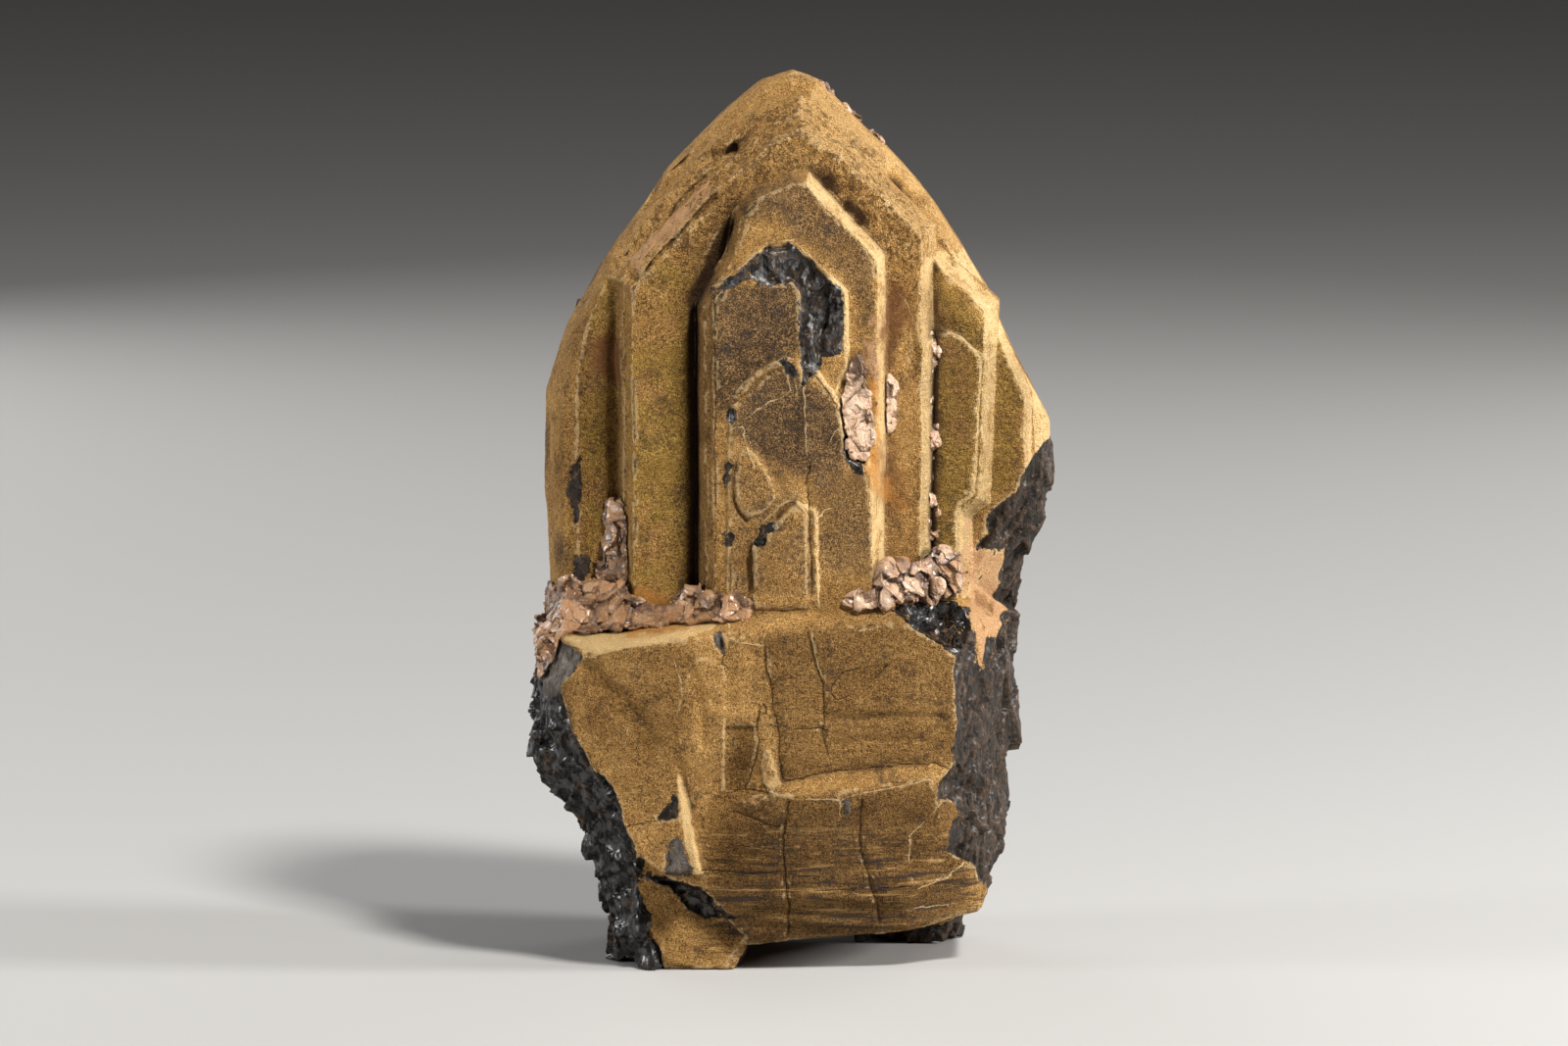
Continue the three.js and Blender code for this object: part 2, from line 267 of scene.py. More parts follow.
# %% Group: shards
shards, ends, out = new_group(
    "shards", {"Place": None, "Size": 1.0, "Warp": 0.4}, ("Tone", "Edge")
)
drift = add(shards, "ShaderNodeTexNoise",
            {"Vector": ends.outputs["Place"], "Scale": 0.8, "Detail": 3.0})
bent = add(shards, "ShaderNodeVectorMath", {0: drift.outputs["Color"]}, operation="SCALE")
shards.links.new(ends.outputs["Warp"], bent.inputs["Scale"])
spot = add(shards, "ShaderNodeVectorMath", {0: ends.outputs["Place"], 1: bent.outputs[0]},
           operation="ADD").outputs[0]
scale = sum_of(shards, "DIVIDE", 1.0, ends.outputs["Size"])
cells = add(shards, "ShaderNodeTexVoronoi", {"Vector": spot, "Scale": scale})
split = add(shards, "ShaderNodeSeparateColor", {0: cells.outputs["Color"]})
edges = add(shards, "ShaderNodeTexVoronoi", {"Vector": spot, "Scale": scale},
            feature="DISTANCE_TO_EDGE")
shards.links.new(split.outputs[0], out.inputs["Tone"])
shards.links.new(edges.outputs["Distance"], out.inputs["Edge"])

# %% Group: ragged border
border, ends, out = new_group(
    "ragged border",
    {"Place": None, "Distance": 0.0, "Fray": 0.5, "Size": 0.8, "Softness": 0.06},
    ("Mask",),
)
fray = mottle(border, ends.outputs["Place"], ends.outputs["Size"], 4.0, 0.65)
shift = sum_of(border, "MULTIPLY", sum_of(border, "SUBTRACT", fray, 0.5),
               sum_of(border, "MULTIPLY", ends.outputs["Fray"], 4.0))
torn = sum_of(border, "ADD", ends.outputs["Distance"], shift)
low = sum_of(border, "MULTIPLY", ends.outputs["Softness"], -1.0)
border.links.new(ramp(border, torn, low, ends.outputs["Softness"]), out.inputs["Mask"])
print("groups:", [g.name for g in bpy.data.node_groups])

# %% [markdown]
# ## The euxenite's finish
# One material holds the whole story of the surface, because on the real thing
# it is one surface: an ochre coat, olive where it lies thin and smooth on the
# inner faces, brown and speckled on the front crystals, cream on the worn edges,
# and missing altogether on the breaks, where the mineral is black and glassy or
# grey and splintery. Some of the colour is painted light: the cream on the walls
# that face right is partly the coat and partly a painted highlight, the lower
# block and a strip beside the front crystals are darkened partly as painted
# shade, the hollows darken with dust and painted shade, and the steel-grey
# flakes and paler ridges on the breaks are painted sheen and highlight. Each
# change follows a value stored on the mesh's points, which the shape's own code
# writes further down.

# %% Colours
GOLD = ((0.095, 0.047, 0.020), (0.450, 0.238, 0.068), (0.800, 0.500, 0.190))  # pits, face, grains
OLIVE = ((0.075, 0.045, 0.020), (0.350, 0.200, 0.040), (0.700, 0.450, 0.130))
BROWN = ((0.024, 0.017, 0.013), (0.115, 0.066, 0.030), (0.480, 0.280, 0.110))
CREAM = ((0.330, 0.180, 0.070), (0.680, 0.450, 0.190), (0.860, 0.640, 0.350))
SOOT = (0.050, 0.036, 0.029)
EARTH = (0.110, 0.055, 0.022)
RUST = (0.160, 0.058, 0.022)
FLESH = (0.560, 0.310, 0.150)
ORANGE = (0.560, 0.250, 0.058)
JET = (0.008, 0.0065, 0.0060)
SLATE = (0.026, 0.023, 0.021)
STEEL = (0.185, 0.187, 0.188)
ASH = (0.300, 0.270, 0.235)
UMBER = (0.104, 0.058, 0.031)

# %% Material: euxenite
euxenite, tree, shader, place = new_material("euxenite")


def times(*values):
    """The product of mask values. This and the next four work on the current tree."""
    total = values[0]
    for value in values[1:]:
        total = sum_of(tree, "MULTIPLY", total, value)
    return total


def plus(*values):
    total = values[0]
    for value in values[1:]:
        total = sum_of(tree, "ADD", total, value)
    return total


def opposite(value):
    return sum_of(tree, "SUBTRACT", 1.0, value, clamp=True)


def painted(colour, *layers):
    """The colour with others laid over it in turn, each where its mask says."""
    for mask, over in layers:
        colour = blend(tree, mask, colour, over)
    return colour


def patches(size, detail, rough, low, high, start=0.0, end=1.0):
    """A mask of irregular patches about size mm wide."""
    return ramp(tree, mottle(tree, place, size, detail, rough), low, high, start, end)


# %% Where each tone of the coat lies
sugar = use_group(tree, grain, Place=place, Grain=0.15, Clump=1.6)
crust = use_group(tree, grain, Place=place, Grain=0.60, Clump=3.4)
small = mottle(tree, place, 0.5, 3, 0.65)
patchy = mottle(tree, place, 2.4, 4, 0.62)
cloud = mottle(tree, place, 7.0, 5, 0.62)
fleck = sum_of(tree, "SUBTRACT", small, 0.5)
cream_and_lit_walls = times(mask_on(tree, "wall"), ramp(tree, plus(patchy, times(0.6, fleck)), 0.34, 0.50, 0.45, 1.0))
brown = ramp(tree, plus(mask_on(tree, "brown"), times(2.4, patchy)), 0.2, 2.2)
dark_and_shaded = ramp(tree, plus(mask_on(tree, "dark_and_shaded"), times(2.0, patchy), times(2.5, fleck)), -1.2, 3.0)
smooth = times(ramp(tree, mask_on(tree, "olive"), -1.5, 1.0), ramp(tree, cloud, 0.36, 0.50))

# %% The coat's colour: pits, faces and grains
cover = plus(sugar["Height"], times(0.18, sum_of(tree, "SUBTRACT", patchy, 0.5)),
             times(0.16, sum_of(tree, "SUBTRACT", cloud, 0.5)), times(0.05, fleck))
low = ramp(tree, plus(cover, times(-0.030, dark_and_shaded), times(0.03, cream_and_lit_walls)), 0.470, 0.410)
high = ramp(tree, plus(cover, times(0.012, brown), times(-0.030, dark_and_shaded), times(0.02, cream_and_lit_walls)),
            0.530, 0.595)
tones = []
for level in range(3):
    tone = blend(tree, smooth, GOLD[level], OLIVE[level])
    tone = blend(tree, brown, tone, BROWN[level])
    tones.append(blend(tree, cream_and_lit_walls, tone, CREAM[level]))
sooty = times(patches(3.0, 5, 0.7, 0.53, 0.64), ramp(tree, small, 0.35, 0.6))
coat = painted(
    tones[1],
    (times(high, 0.88), tones[2]),
    (times(low, 0.92), tones[0]),
    (times(sooty, plus(0.60, times(0.3, brown)), opposite(cream_and_lit_walls)), SOOT),
)
# The coat is multiplied darker where this mask is high: painted shade on the lower block and beside the
# front crystals, a darker tone on the back.
coat = blend(tree, times(dark_and_shaded, 0.80), coat, blend(tree, 1.0, coat, (0.36, 0.34, 0.32), "MULTIPLY"))

# %% Growth beds across the foot of the lower block
beds = mottle(tree, stretched(tree, place, (0.09, 0.09, 1.0), (0.0, 0.045, 0.0)), 0.62, 4, 0.65, 0.4)
bedded = mask_on(tree, "strata")
coat = blend(tree, times(bedded, ramp(tree, beds, 0.47, 0.36, 0.0, 0.85)), coat, SOOT)
coat = blend(tree, times(bedded, ramp(tree, beds, 0.56, 0.66, 0.0, 0.45)), coat, GOLD[2])


# %% Drawn lines and worn rims
def drawn(name, half):
    """A crisp line where the signed distance is nought; half its width in mm."""
    side = sum_of(tree, "ABSOLUTE", plus(mask_on(tree, name + " side"), times(fleck, 0.35)))
    close = ramp(tree, plus(mask_on(tree, name), times(fleck, 1.6)), 0.0, 0.25)
    return times(ramp(tree, side, half, half * 0.35), close)


rim = ramp(tree, plus(mask_on(tree, "crest"), times(fleck, 0.9)), 0.26, 0.06)
line = times(drawn("line", 0.10), patches(1.4, 3, 0.6, 0.36, 0.56, 0.2, 1.0))
crack = times(drawn("crack", 0.09), patches(1.2, 3, 0.6, 0.34, 0.54, 0.3, 1.0))
worn = sum_of(tree, "MAXIMUM", times(rim, 0.38), times(line, 0.65))
coat = blend(tree, worn, coat, CREAM[2])
pits = ramp(tree, plus(crust["Height"], times(-0.12, mask_on(tree, "coarse")), times(0.1, cream_and_lit_walls)),
            0.40, 0.34)
coat = blend(tree, times(pits, 0.6), coat, EARTH)


# %% [markdown]
# ## Stains
# Iron from the mineral has rusted the grooves beside the feldspar, and clay has
# left a flesh-coloured smear on the right shoulder. A stain has a torn border
# and lets the grain show through, so each is a ragged mask times a fine noise.

# %% Stains on the coat, with painted highlights on a few strips and painted shade in the hollows
def ragged(name, fray, size, softness):
    """A mask with a frayed border, from the distance stored under this name; in mm."""
    return use_group(tree, border, Place=place, Distance=mask_on(tree, name), Fray=fray,
                     Size=size, Softness=softness)["Mask"]


rust = ragged("rust", 0.8, 2.5, 0.8)
flesh = ragged("flesh", 1.0, 1.5, 0.3)
orange = ragged("orange", 0.8, 1.2, 0.5)
# Cream on strips that catch the light: a painted highlight.
lit_band = ragged("lit_band", 0.20, 1.0, 0.10)
streak = mottle(tree, stretched(tree, place, (1.0, 1.0, 0.25), (0.0, 0.5, 0.0)), 1.2, 4, 0.6)
# Hollows darken to a deep brown: dust, and painted shade where the grooves lie in shadow.
dust_and_painted_shade = times(ramp(tree, mask_on(tree, "hollow"), 0.26, 0.95, 0.0, 0.92),
               opposite(times(flesh, 0.8)))
coat = painted(
    coat,
    (times(rust, 0.75), RUST),
    (times(lit_band, 0.9), blend(tree, high, CREAM[1], CREAM[2])),
    (times(orange, ramp(tree, small, 0.2, 0.6, 0.55, 0.95)), ORANGE),
    (times(flesh, ramp(tree, streak, 0.66, 0.54, 0.0, 0.9)),
     blend(tree, high, FLESH, (0.700, 0.450, 0.250))),
    (times(flesh, ramp(tree, streak, 0.62, 0.68)), SLATE),
    (dust_and_painted_shade, (0.045, 0.022, 0.010)),
)

# %% [markdown]
# ## The breaks' colour
# Fresh euxenite is black. Where it broke like glass it shows smooth shells with
# brown veins, and where it broke along its fibres it is dull grey-brown. The
# steel-grey flakes at the tip of the front crystal are a painted sheen on the
# black, and the pale grey at the top of the left break and the paler ridges are
# painted highlights. Colour alone would look painted, so the same fibres, folds
# and flakes drive colour here and relief further down.

# %% Patterns on the breaks
glassy = mask_on(tree, "glassy")
splintery = opposite(glassy)
steel = mask_on(tree, "steel")
fibres = mottle(tree, stretched(tree, place, (1.8, 1.8, 0.30), (0.0, 0.22, 0.0)), 0.7, 5, 0.65, 0.5)
leaning = stretched(tree, place, (1.0, 1.0, 0.6), (0.0, 0.6, 0.0))
folds = mottle(tree, leaning, 1.5, 4, 0.6, 0.8)
crumple = sum_of(tree, "ABSOLUTE", sum_of(tree, "SUBTRACT", folds, 0.5))
upright = stretched(tree, place, (1.0, 1.0, 0.45), (0.0, 0.3, 0.0))
slabs = use_group(tree, shards, Place=upright, Size=1.3, Warp=1.6)
flakes = use_group(tree, shards, Place=leaning, Size=0.50, Warp=1.0)
speck = ramp(tree, sugar["Height"], 0.545, 0.62)
# Ridges on the breaks are lightened below: a painted highlight.
ridge_highlight = ramp(tree, plus(mask_on(tree, "crest"), times(fleck, 1.2)), 0.40, 0.05)

# %% Splintery breaks, with a painted sheen of steely flakes at the tip
splinter = blend(tree, ramp(tree, fibres, 0.42, 0.66), SLATE, (0.085, 0.068, 0.054))
splinter = painted(
    splinter,
    (patches(2.6, 4, 0.65, 0.44, 0.60, 0.0, 0.85), JET),
    (patches(1.5, 5, 0.72, 0.54, 0.66, 0.0, 0.75), UMBER),
    (ramp(tree, slabs["Tone"], 0.5, 0.9, 0.0, 0.55), (0.045, 0.040, 0.037)),
    (times(speck, 0.40), (0.20, 0.125, 0.080)),
    (times(ridge_highlight, 0.35), (0.24, 0.150, 0.090)),
)
# Steel-grey flakes and light specks on the black: painted sheen and painted glints.
steel_sheen = painted(
    blend(tree, ramp(tree, flakes["Tone"], 0.2, 1.0), JET, STEEL),
    (ramp(tree, flakes["Edge"], 0.10, 0.0, 0.0, 0.6), (0.006, 0.005, 0.005)),
    (patches(1.4, 5, 0.75, 0.50, 0.62, 0.0, 0.75), UMBER),
    (times(ramp(tree, small, 0.54, 0.64), speck, 0.9), (0.42, 0.36, 0.30)),
)
# Pale grey where these patches lie: a painted highlight at the top of the left break.
pale_highlight = times(mask_on(tree, "ashen"), ramp(tree, fibres, 0.36, 0.6, 0.4, 1.0))
splinter = painted(splinter, (steel, steel_sheen), (pale_highlight, ASH))

# %% Glassy breaks, and all of them together
drift = add(tree, "ShaderNodeTexNoise", {"Vector": place, "Scale": 0.7, "Detail": 3.0})
warped = add(tree, "ShaderNodeVectorMath", {0: place, 1: drift.outputs["Color"]}, operation="ADD")
veins = add(tree, "ShaderNodeTexVoronoi", {"Vector": warped.outputs[0], "Scale": 0.6},
            feature="DISTANCE_TO_EDGE").outputs["Distance"]
vein = times(ramp(tree, veins, 0.05, 0.01), patches(4, 3, 0.6, 0.46, 0.62))
glass_break = painted(
    JET, (times(vein, 0.8), (0.20, 0.11, 0.05)), (patches(0.8, 5, 0.75, 0.56, 0.70, 0.0, 0.6), UMBER)
)
# Hollows on the breaks darken too: dust and painted shade.
break_dust_and_painted_shade = times(ramp(tree, mask_on(tree, "hollow"), 0.1, 0.5, 0.0, 0.6), splintery)
broken = painted(splinter, (glassy, glass_break), (break_dust_and_painted_shade, (0.040, 0.026, 0.016)))
dulled = blend(tree, 1.0, broken, (0.66, 0.64, 0.62), "MULTIPLY")
broken = painted(broken, (opposite(steel), dulled))

# %% Where the breaks begin
bare = ragged("bare", 0.45, 0.9, 0.06)
crumbs = patches(0.8, 5, 0.7, 0.60, 0.66)
near = ramp(tree, mask_on(tree, "bare"), 0.1, 2.5, 0.9, 0.12)
bare = sum_of(tree, "SUBTRACT", bare, times(crumbs, near), clamp=True)
colour = blend(tree, bare, coat, broken)
colour = blend(tree, times(crack, 0.85, opposite(bare)), colour, (0.030, 0.017, 0.009))
tree.links.new(colour, shader.inputs["Base Color"])

# %% [markdown]
# ## Gloss and fine relief
# The coat is as dull as dry clay, and only the glassy breaks glint. A coat layer
# with its own weight gives them a wet edge without making the ochre shine. The
# fine relief is a bump, because grains of 0.15 mm are smaller than the mesh's
# spacing. Everything larger is in the mesh.

# %% Gloss
gloss = patches(1.3, 3, 0.6, 0.35, 0.65, 0.32, 0.55)
mixed = plus(times(gloss, glassy), times(0.58, splintery))
tree.links.new(plus(times(mixed, bare), times(0.90, opposite(bare))), shader.inputs["Roughness"])
shader.inputs["IOR"].default_value = 1.5
shader.inputs["Specular IOR Level"].default_value = 0.14
shader.inputs["Coat IOR"].default_value = 1.7
shader.inputs["Coat Roughness"].default_value = 0.30
shine = plus(times(glassy, patches(1.3, 3, 0.6, 0.44, 0.60, 0.0, 0.75)),
             times(splintery, steel, 0.12), times(splintery, 0.09))
tree.links.new(times(shine, bare, opposite(vein)), shader.inputs["Coat Weight"])

# %% Fine relief
COAT_RELIEF = 0.00042  # metres, for a full step of the height below
wrinkles = mottle(tree, stretched(tree, place, (0.5, 0.5, 1.6), (0.0, 0.04, 0.0)), 1.5, 4, 0.62, 0.3)
lower = ramp(tree, mask_on(tree, "dark_and_shaded"), -3.6, 0.5)
crusty = plus(0.7, times(1.8, mask_on(tree, "coarse")), times(0.8, lower))
coat_height = plus(
    times(sugar["Height"], 1.3), times(crust["Height"], crusty), times(small, 0.5),
    times(beds, bedded, 1.4), times(wrinkles, lower, 2.4), times(line, 0.25)
)
fibre_height = plus(times(fibres, 1.6), times(small, 1.2), times(crumple, plus(1.0, times(2.0, steel))),
                    times(flakes["Tone"], plus(0.5, times(0.9, steel))))
glass_height = plus(times(mottle(tree, place, 1.4, 2, 0.5), 1.0), times(crumple, 2.0),
                    times(slabs["Tone"], 0.7), times(vein, 0.3))
break_height = plus(times(glass_height, glassy), times(fibre_height, splintery))
height = plus(times(break_height, bare), times(coat_height, opposite(bare)), times(crack, -0.9))
relief = add(tree, "ShaderNodeBump", {"Height": height, "Strength": 1.0, "Distance": COAT_RELIEF})
tree.links.new(relief.outputs[0], shader.inputs["Normal"])
print("euxenite nodes:", len(tree.nodes))

# %% [markdown]
# ## The feldspar's finish
# Feldspar breaks in pearly steps and is stained by the coat around it: pinkish
# white where it is clean, brown and a little glassy where it is not. How clean a
# crust is differs from place to place, so it is a value stored on each crust, and
# so are each grain's own tone and its distance to the next grain.

# %% Material: feldspar
feldspar, tree, shader, place = new_material("feldspar")
sugar = use_group(tree, grain, Place=place, Grain=0.22, Clump=1.6)
small = mottle(tree, place, 0.6, 4, 0.65)
clean = mask_on(tree, "clean")
tone = mask_on(tree, "tone")
stained = painted(
    (0.085, 0.036, 0.014),
    (patches(1.5, 4, 0.6, 0.36, 0.60), (0.31, 0.155, 0.058)),
    (patches(2.2, 4, 0.6, 0.52, 0.64), (0.42, 0.25, 0.13)),
    (ramp(tree, tone, 0.55, 0.85), (0.42, 0.21, 0.085)),
)
white = painted(
    (0.47, 0.29, 0.18),
    (patches(1.8, 4, 0.6, 0.38, 0.62), (0.64, 0.46, 0.32)),
    (patches(1.6, 5, 0.65, 0.57, 0.66, 0.0, 0.7), (0.24, 0.125, 0.065)),
    (ramp(tree, tone, 0.4, 0.1, 0.0, 0.6), (0.42, 0.24, 0.13)),
)
whiteness = plus(clean, times(0.5, tone), times(0.6, mottle(tree, place, 2.5, 3, 0.5)))
to_next = plus(mask_on(tree, "seam"), times(0.5, sum_of(tree, "SUBTRACT", small, 0.5)))
# The body darkens in its hollows: brown dirt in the crevices and painted shade.
body = painted(
    stained,
    (ramp(tree, whiteness, 0.66, 1.22), white),
    (ramp(tree, mask_on(tree, "hollow"), 0.25, 0.8, 0.0, 0.85), (0.075, 0.034, 0.016)),
    (times(ramp(tree, to_next, 0.16, 0.02), 0.6), (0.075, 0.035, 0.016)),
    (times(sugar["Pits"], 0.35), (0.10, 0.05, 0.025)),
)
tree.links.new(body, shader.inputs["Base Color"])
tree.links.new(ramp(tree, small, 0.35, 0.65, 0.24, 0.52), shader.inputs["Roughness"])
shader.inputs["IOR"].default_value = 1.53
shader.inputs["Coat Roughness"].default_value = 0.25
tree.links.new(times(0.5, opposite(clean)), shader.inputs["Coat Weight"])
FELDSPAR_RELIEF = 0.00016  # metres
height = plus(times(sugar["Height"], 0.9), times(small, 1.6))
relief = add(tree, "ShaderNodeBump",
             {"Height": height, "Strength": 1.0, "Distance": FELDSPAR_RELIEF})
tree.links.new(relief.outputs[0], shader.inputs["Normal"])
print("feldspar nodes:", len(tree.nodes))

# %% [markdown]
# ## From CAD facets to a skin that can be worked
# The CAD solid is flat facets with long thin triangles, which can't be chipped
# or dented. A voxel remesh covers the same shape with small even quads, and
# after that every point can be moved, like clay under a tool. Doing the moves
# in code, from noise and measured lines, keeps them the same on every run.


# %% Skin from a CAD node
def skin_of(node, name, voxel):
    """A merged copy of the CAD node, remeshed into even quads; voxel in mm."""
    shape = bmesh.new()
    shape.from_mesh(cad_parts[node].data)
    bmesh.ops.remove_doubles(shape, verts=shape.verts, dist=2e-6)
    data = bpy.data.meshes.new(name)
    shape.to_mesh(data)
    shape.free()
    piece = bpy.data.objects.new(name, data)
    bpy.context.scene.collection.objects.link(piece)
    remesh(piece, voxel)
    print(name, "skin of", len(piece.data.vertices), "points")
    return piece


def remesh(piece, voxel):
    """Gives the piece a new skin of even quads."""
    skin = piece.modifiers.new("skin", "REMESH")
    skin.mode, skin.voxel_size = "VOXEL", voxel * MM
    settle(piece)


def settle(piece):
    """Applies the piece's modifiers to its mesh."""
    bpy.context.view_layer.update()
    seen = piece.evaluated_get(bpy.context.evaluated_depsgraph_get())
    fresh = bpy.data.meshes.new_from_object(seen)
    old = piece.data
    piece.modifiers.clear()
    piece.data = fresh
    bpy.data.meshes.remove(old)
    fresh.name = piece.name


# %% Reading and moving points
def read(mesh, what="co"):
    """Positions in mm, or the normals, as rows of three."""
    rows = mesh.vertices if what == "co" else mesh.vertex_normals
    flat = np.empty(len(mesh.vertices) * 3, np.float32)
    rows.foreach_get("co" if what == "co" else "vector", flat)
    return flat.reshape(-1, 3).astype(float) * (1 / MM if what == "co" else 1)


def write(mesh, points):
    mesh.vertices.foreach_set("co", (points * MM).astype(np.float32).ravel())
    mesh.update()


def surface_of(mesh):
    """A search tree over the mesh's faces."""
    corners = [tuple(p.vertices) for p in mesh.polygons]
    return BVHTree.FromPolygons([v.co for v in mesh.vertices], corners)


def keep(mesh, name, values):
    """Stores one value per point, for the material to read."""
    layer = mesh.attributes.get(name) or mesh.attributes.new(name, "FLOAT", "POINT")
    layer.data.foreach_set("value", np.asarray(values, np.float32))


def neighbour_mean(mesh):
    """A function that replaces each point's value by the mean of its neighbours'."""
    pairs = np.empty(len(mesh.edges) * 2, np.int32)
    mesh.edges.foreach_get("vertices", pairs)
    a, b = pairs.reshape(-1, 2).T
    count = np.bincount(a, minlength=len(mesh.vertices)) + np.bincount(b, minlength=len(mesh.vertices))
    count = np.maximum(count, 1)

    def mean(values):
        columns = values.reshape(len(values), -1)
        made = np.empty_like(columns)
        for k in range(columns.shape[1]):
            c = columns[:, k]
            made[:, k] = (np.bincount(a, c[b], len(c)) + np.bincount(b, c[a], len(c))) / count
        return made.reshape(values.shape)

    return mean


def relax(values, mean, rounds, share=0.5):
    for _ in range(rounds):
        values = values + share * (mean(values) - values)
    return values


# %% Noise and steps over arrays of points
HALF = Vector((0.5, 0.5, 0.5))


def rough(points, size, seed=0.0):
    """Smooth noise between -1 and 1, in lumps of size mm (one number or three)."""
    spots = (points / np.asarray(size, float) + (seed * 17.3, seed * 5.1, -seed * 9.7)).tolist()
    return np.array([noise.noise(p) for p in spots])


def drift_of(points, size, seed):
    """Noise for each of the three axes."""
    return np.c_[rough(points, size, seed), rough(points, size, seed + 1), rough(points, size, seed + 2)]


def ridges(points, size, seed=0.0):
    """Sharp-crested noise between 0 and 1."""
    return 1 - np.abs(rough(points, size, seed)) * 2


def step(values, low, high):
    """0 below low, 1 above high, smooth between."""
    t = np.clip((values - low) / (high - low), 0, 1)
    return t * t * (3 - 2 * t)


def facets(points, size, seed=0.0, tilt=0.5, drop=0.4):
    """Flat tilted chips with steps between them, in mm; size is their width."""
    size = np.asarray(size, float)
    made = np.empty(len(points))
    for i, spot in enumerate((points / size + seed * 3.7).tolist()):
        centre = noise.voronoi(spot)[1][0]
        lean = noise.cell_vector(centre * 31.7)
        made[i] = tilt * (Vector(spot) - centre).dot(lean - HALF) + drop * (lean.x - lean.z)
    return made * size.min()


# %% [markdown]
# ## Drawing on the front
# Breaks, stains and cracks are laid out as outlines and lines in millimetres,
# across (x) and up (z), and only touch the surface that lies in front of a
# given depth. Each becomes a signed distance on the points: positive inside.
# A distance serves twice, once to sink the surface and once as a material mask.


# %% Distances to outlines and lines
def to_segments(x, z, line):
    """The distance from each point to a chain of segments."""
    best = np.full(len(x), 1e9)
    for (ax, az), (bx, bz) in zip(line[:-1], line[1:]):
        dx, dz = bx - ax, bz - az
        t = np.clip(((x - ax) * dx + (z - az) * dz) / (dx * dx + dz * dz + 1e-12), 0, 1)
        best = np.minimum(best, np.hypot(x - ax - t * dx, z - az - t * dz))
    return best


def close_to(points, line, reach, limit):
    """Which points lie within reach of the line's box and in front of the limit."""
    x, y, z = points.T
    xs, zs = np.array(line).T
    return ((x > xs.min() - reach) & (x < xs.max() + reach) & (z > zs.min() - reach)
            & (z < zs.max() + reach) & (y < limit))


def inside_by(points, outline, front=99.0, reach=4.0):
    """How far inside the outline each point lies, in mm; at most reach outside."""
    x, y, z = points.T
    value = np.full(len(x), -reach)
    near = close_to(points, outline, reach, front + reach)
    px, pz = x[near], z[near]
    loop = [*outline, outline[0]]
    crossed = np.zeros(len(px), bool)
    for (ax, az), (bx, bz) in zip(loop[:-1], loop[1:]):
        spans = (az > pz) != (bz > pz)
        crossed ^= spans & (px < (bx - ax) * (pz - az) / ((bz - az) or 1e-9) + ax)
    away = to_segments(px, pz, loop)
    value[near] = np.minimum(np.where(crossed, away, -away), front - y[near])
    return np.maximum(value, -reach)


def inside_any(points, patches):
    """How far inside the nearest of the patches, each a front limit, a cap and an outline."""
    parts = [np.minimum(inside_by(points, line, limit), cap) for limit, cap, line in patches]
    return np.max(parts, axis=0)


def line_away(points, line, front=99.0, reach=2.0):
    """The distance to a line drawn on the front; at most reach."""
    x, _, z = points.T
    value = np.full(len(x), reach)
    near = close_to(points, line, reach, front)
    value[near] = np.minimum(to_segments(x[near], z[near], line), reach)
    return value


def side_of(points, line):
    """1 on the left of a line drawn on the front, -1 on its right."""
    x, _, z = points.T
    best, side = np.full(len(x), 1e9), np.ones(len(x))
    for a, b in zip(line[:-1], line[1:]):
        away = to_segments(x, z, [a, b])
        turn = (b[0] - a[0]) * (z - a[1]) - (b[1] - a[1]) * (x - a[0])
        side = np.where(away < best, np.where(turn > 0, 1.0, -1.0), side)
        best = np.minimum(best, away)
    return side


def draw(points, lines):
    """For lines of (front limit, strength, line): a soft nearness and a signed distance."""
    nearness, signed = np.full(len(points), -1.0), np.full(len(points), 2.0)
    for limit, strength, line in lines:
        away = line_away(points, line, limit)
        here = strength * (1 - away / 0.7)
        closer = (here > nearness) & (away < 1.9)
        signed[closer] = away[closer] * side_of(points[closer], line)
        nearness = np.maximum(nearness, here)
    return nearness, signed


# %% Where the coat is broken away
RIGHT_EDGE = [(-5, 22.8), (2.7, 22.3), (7.1, 22.1), (10.7, 21.2), (12.7, 19.5), (13.6, 17.4), (16, 18.2),
    (18.2, 18.8), (19.9, 16.8), (22, 16.6), (23.1, 18.4), (25.1, 17.8), (28.2, 18.4), (36, 18.6),
    (39.3, 20.1), (44, 20.5), (46, 40)]
LEFT_EDGE = [(-5, -14.5), (2, -14.6), (4.5, -15.6), (7, -16.6), (9, -17.1), (10.3, -17.3), (11.5, -16.4),
    (13, -17), (15, -17.5), (16.3, -18.2), (18, -19), (20, -19.6), (21.1, -20), (22.3, -21),
    (23.6, -22.5), (25, -23.9), (27.3, -24.3), (29.6, -24.8), (31, -25.4), (32.3, -25.8), (33.6, -24.6),
    (35.3, -23.1), (36.6, -25.5), (38, -29.5), (44, -40)]
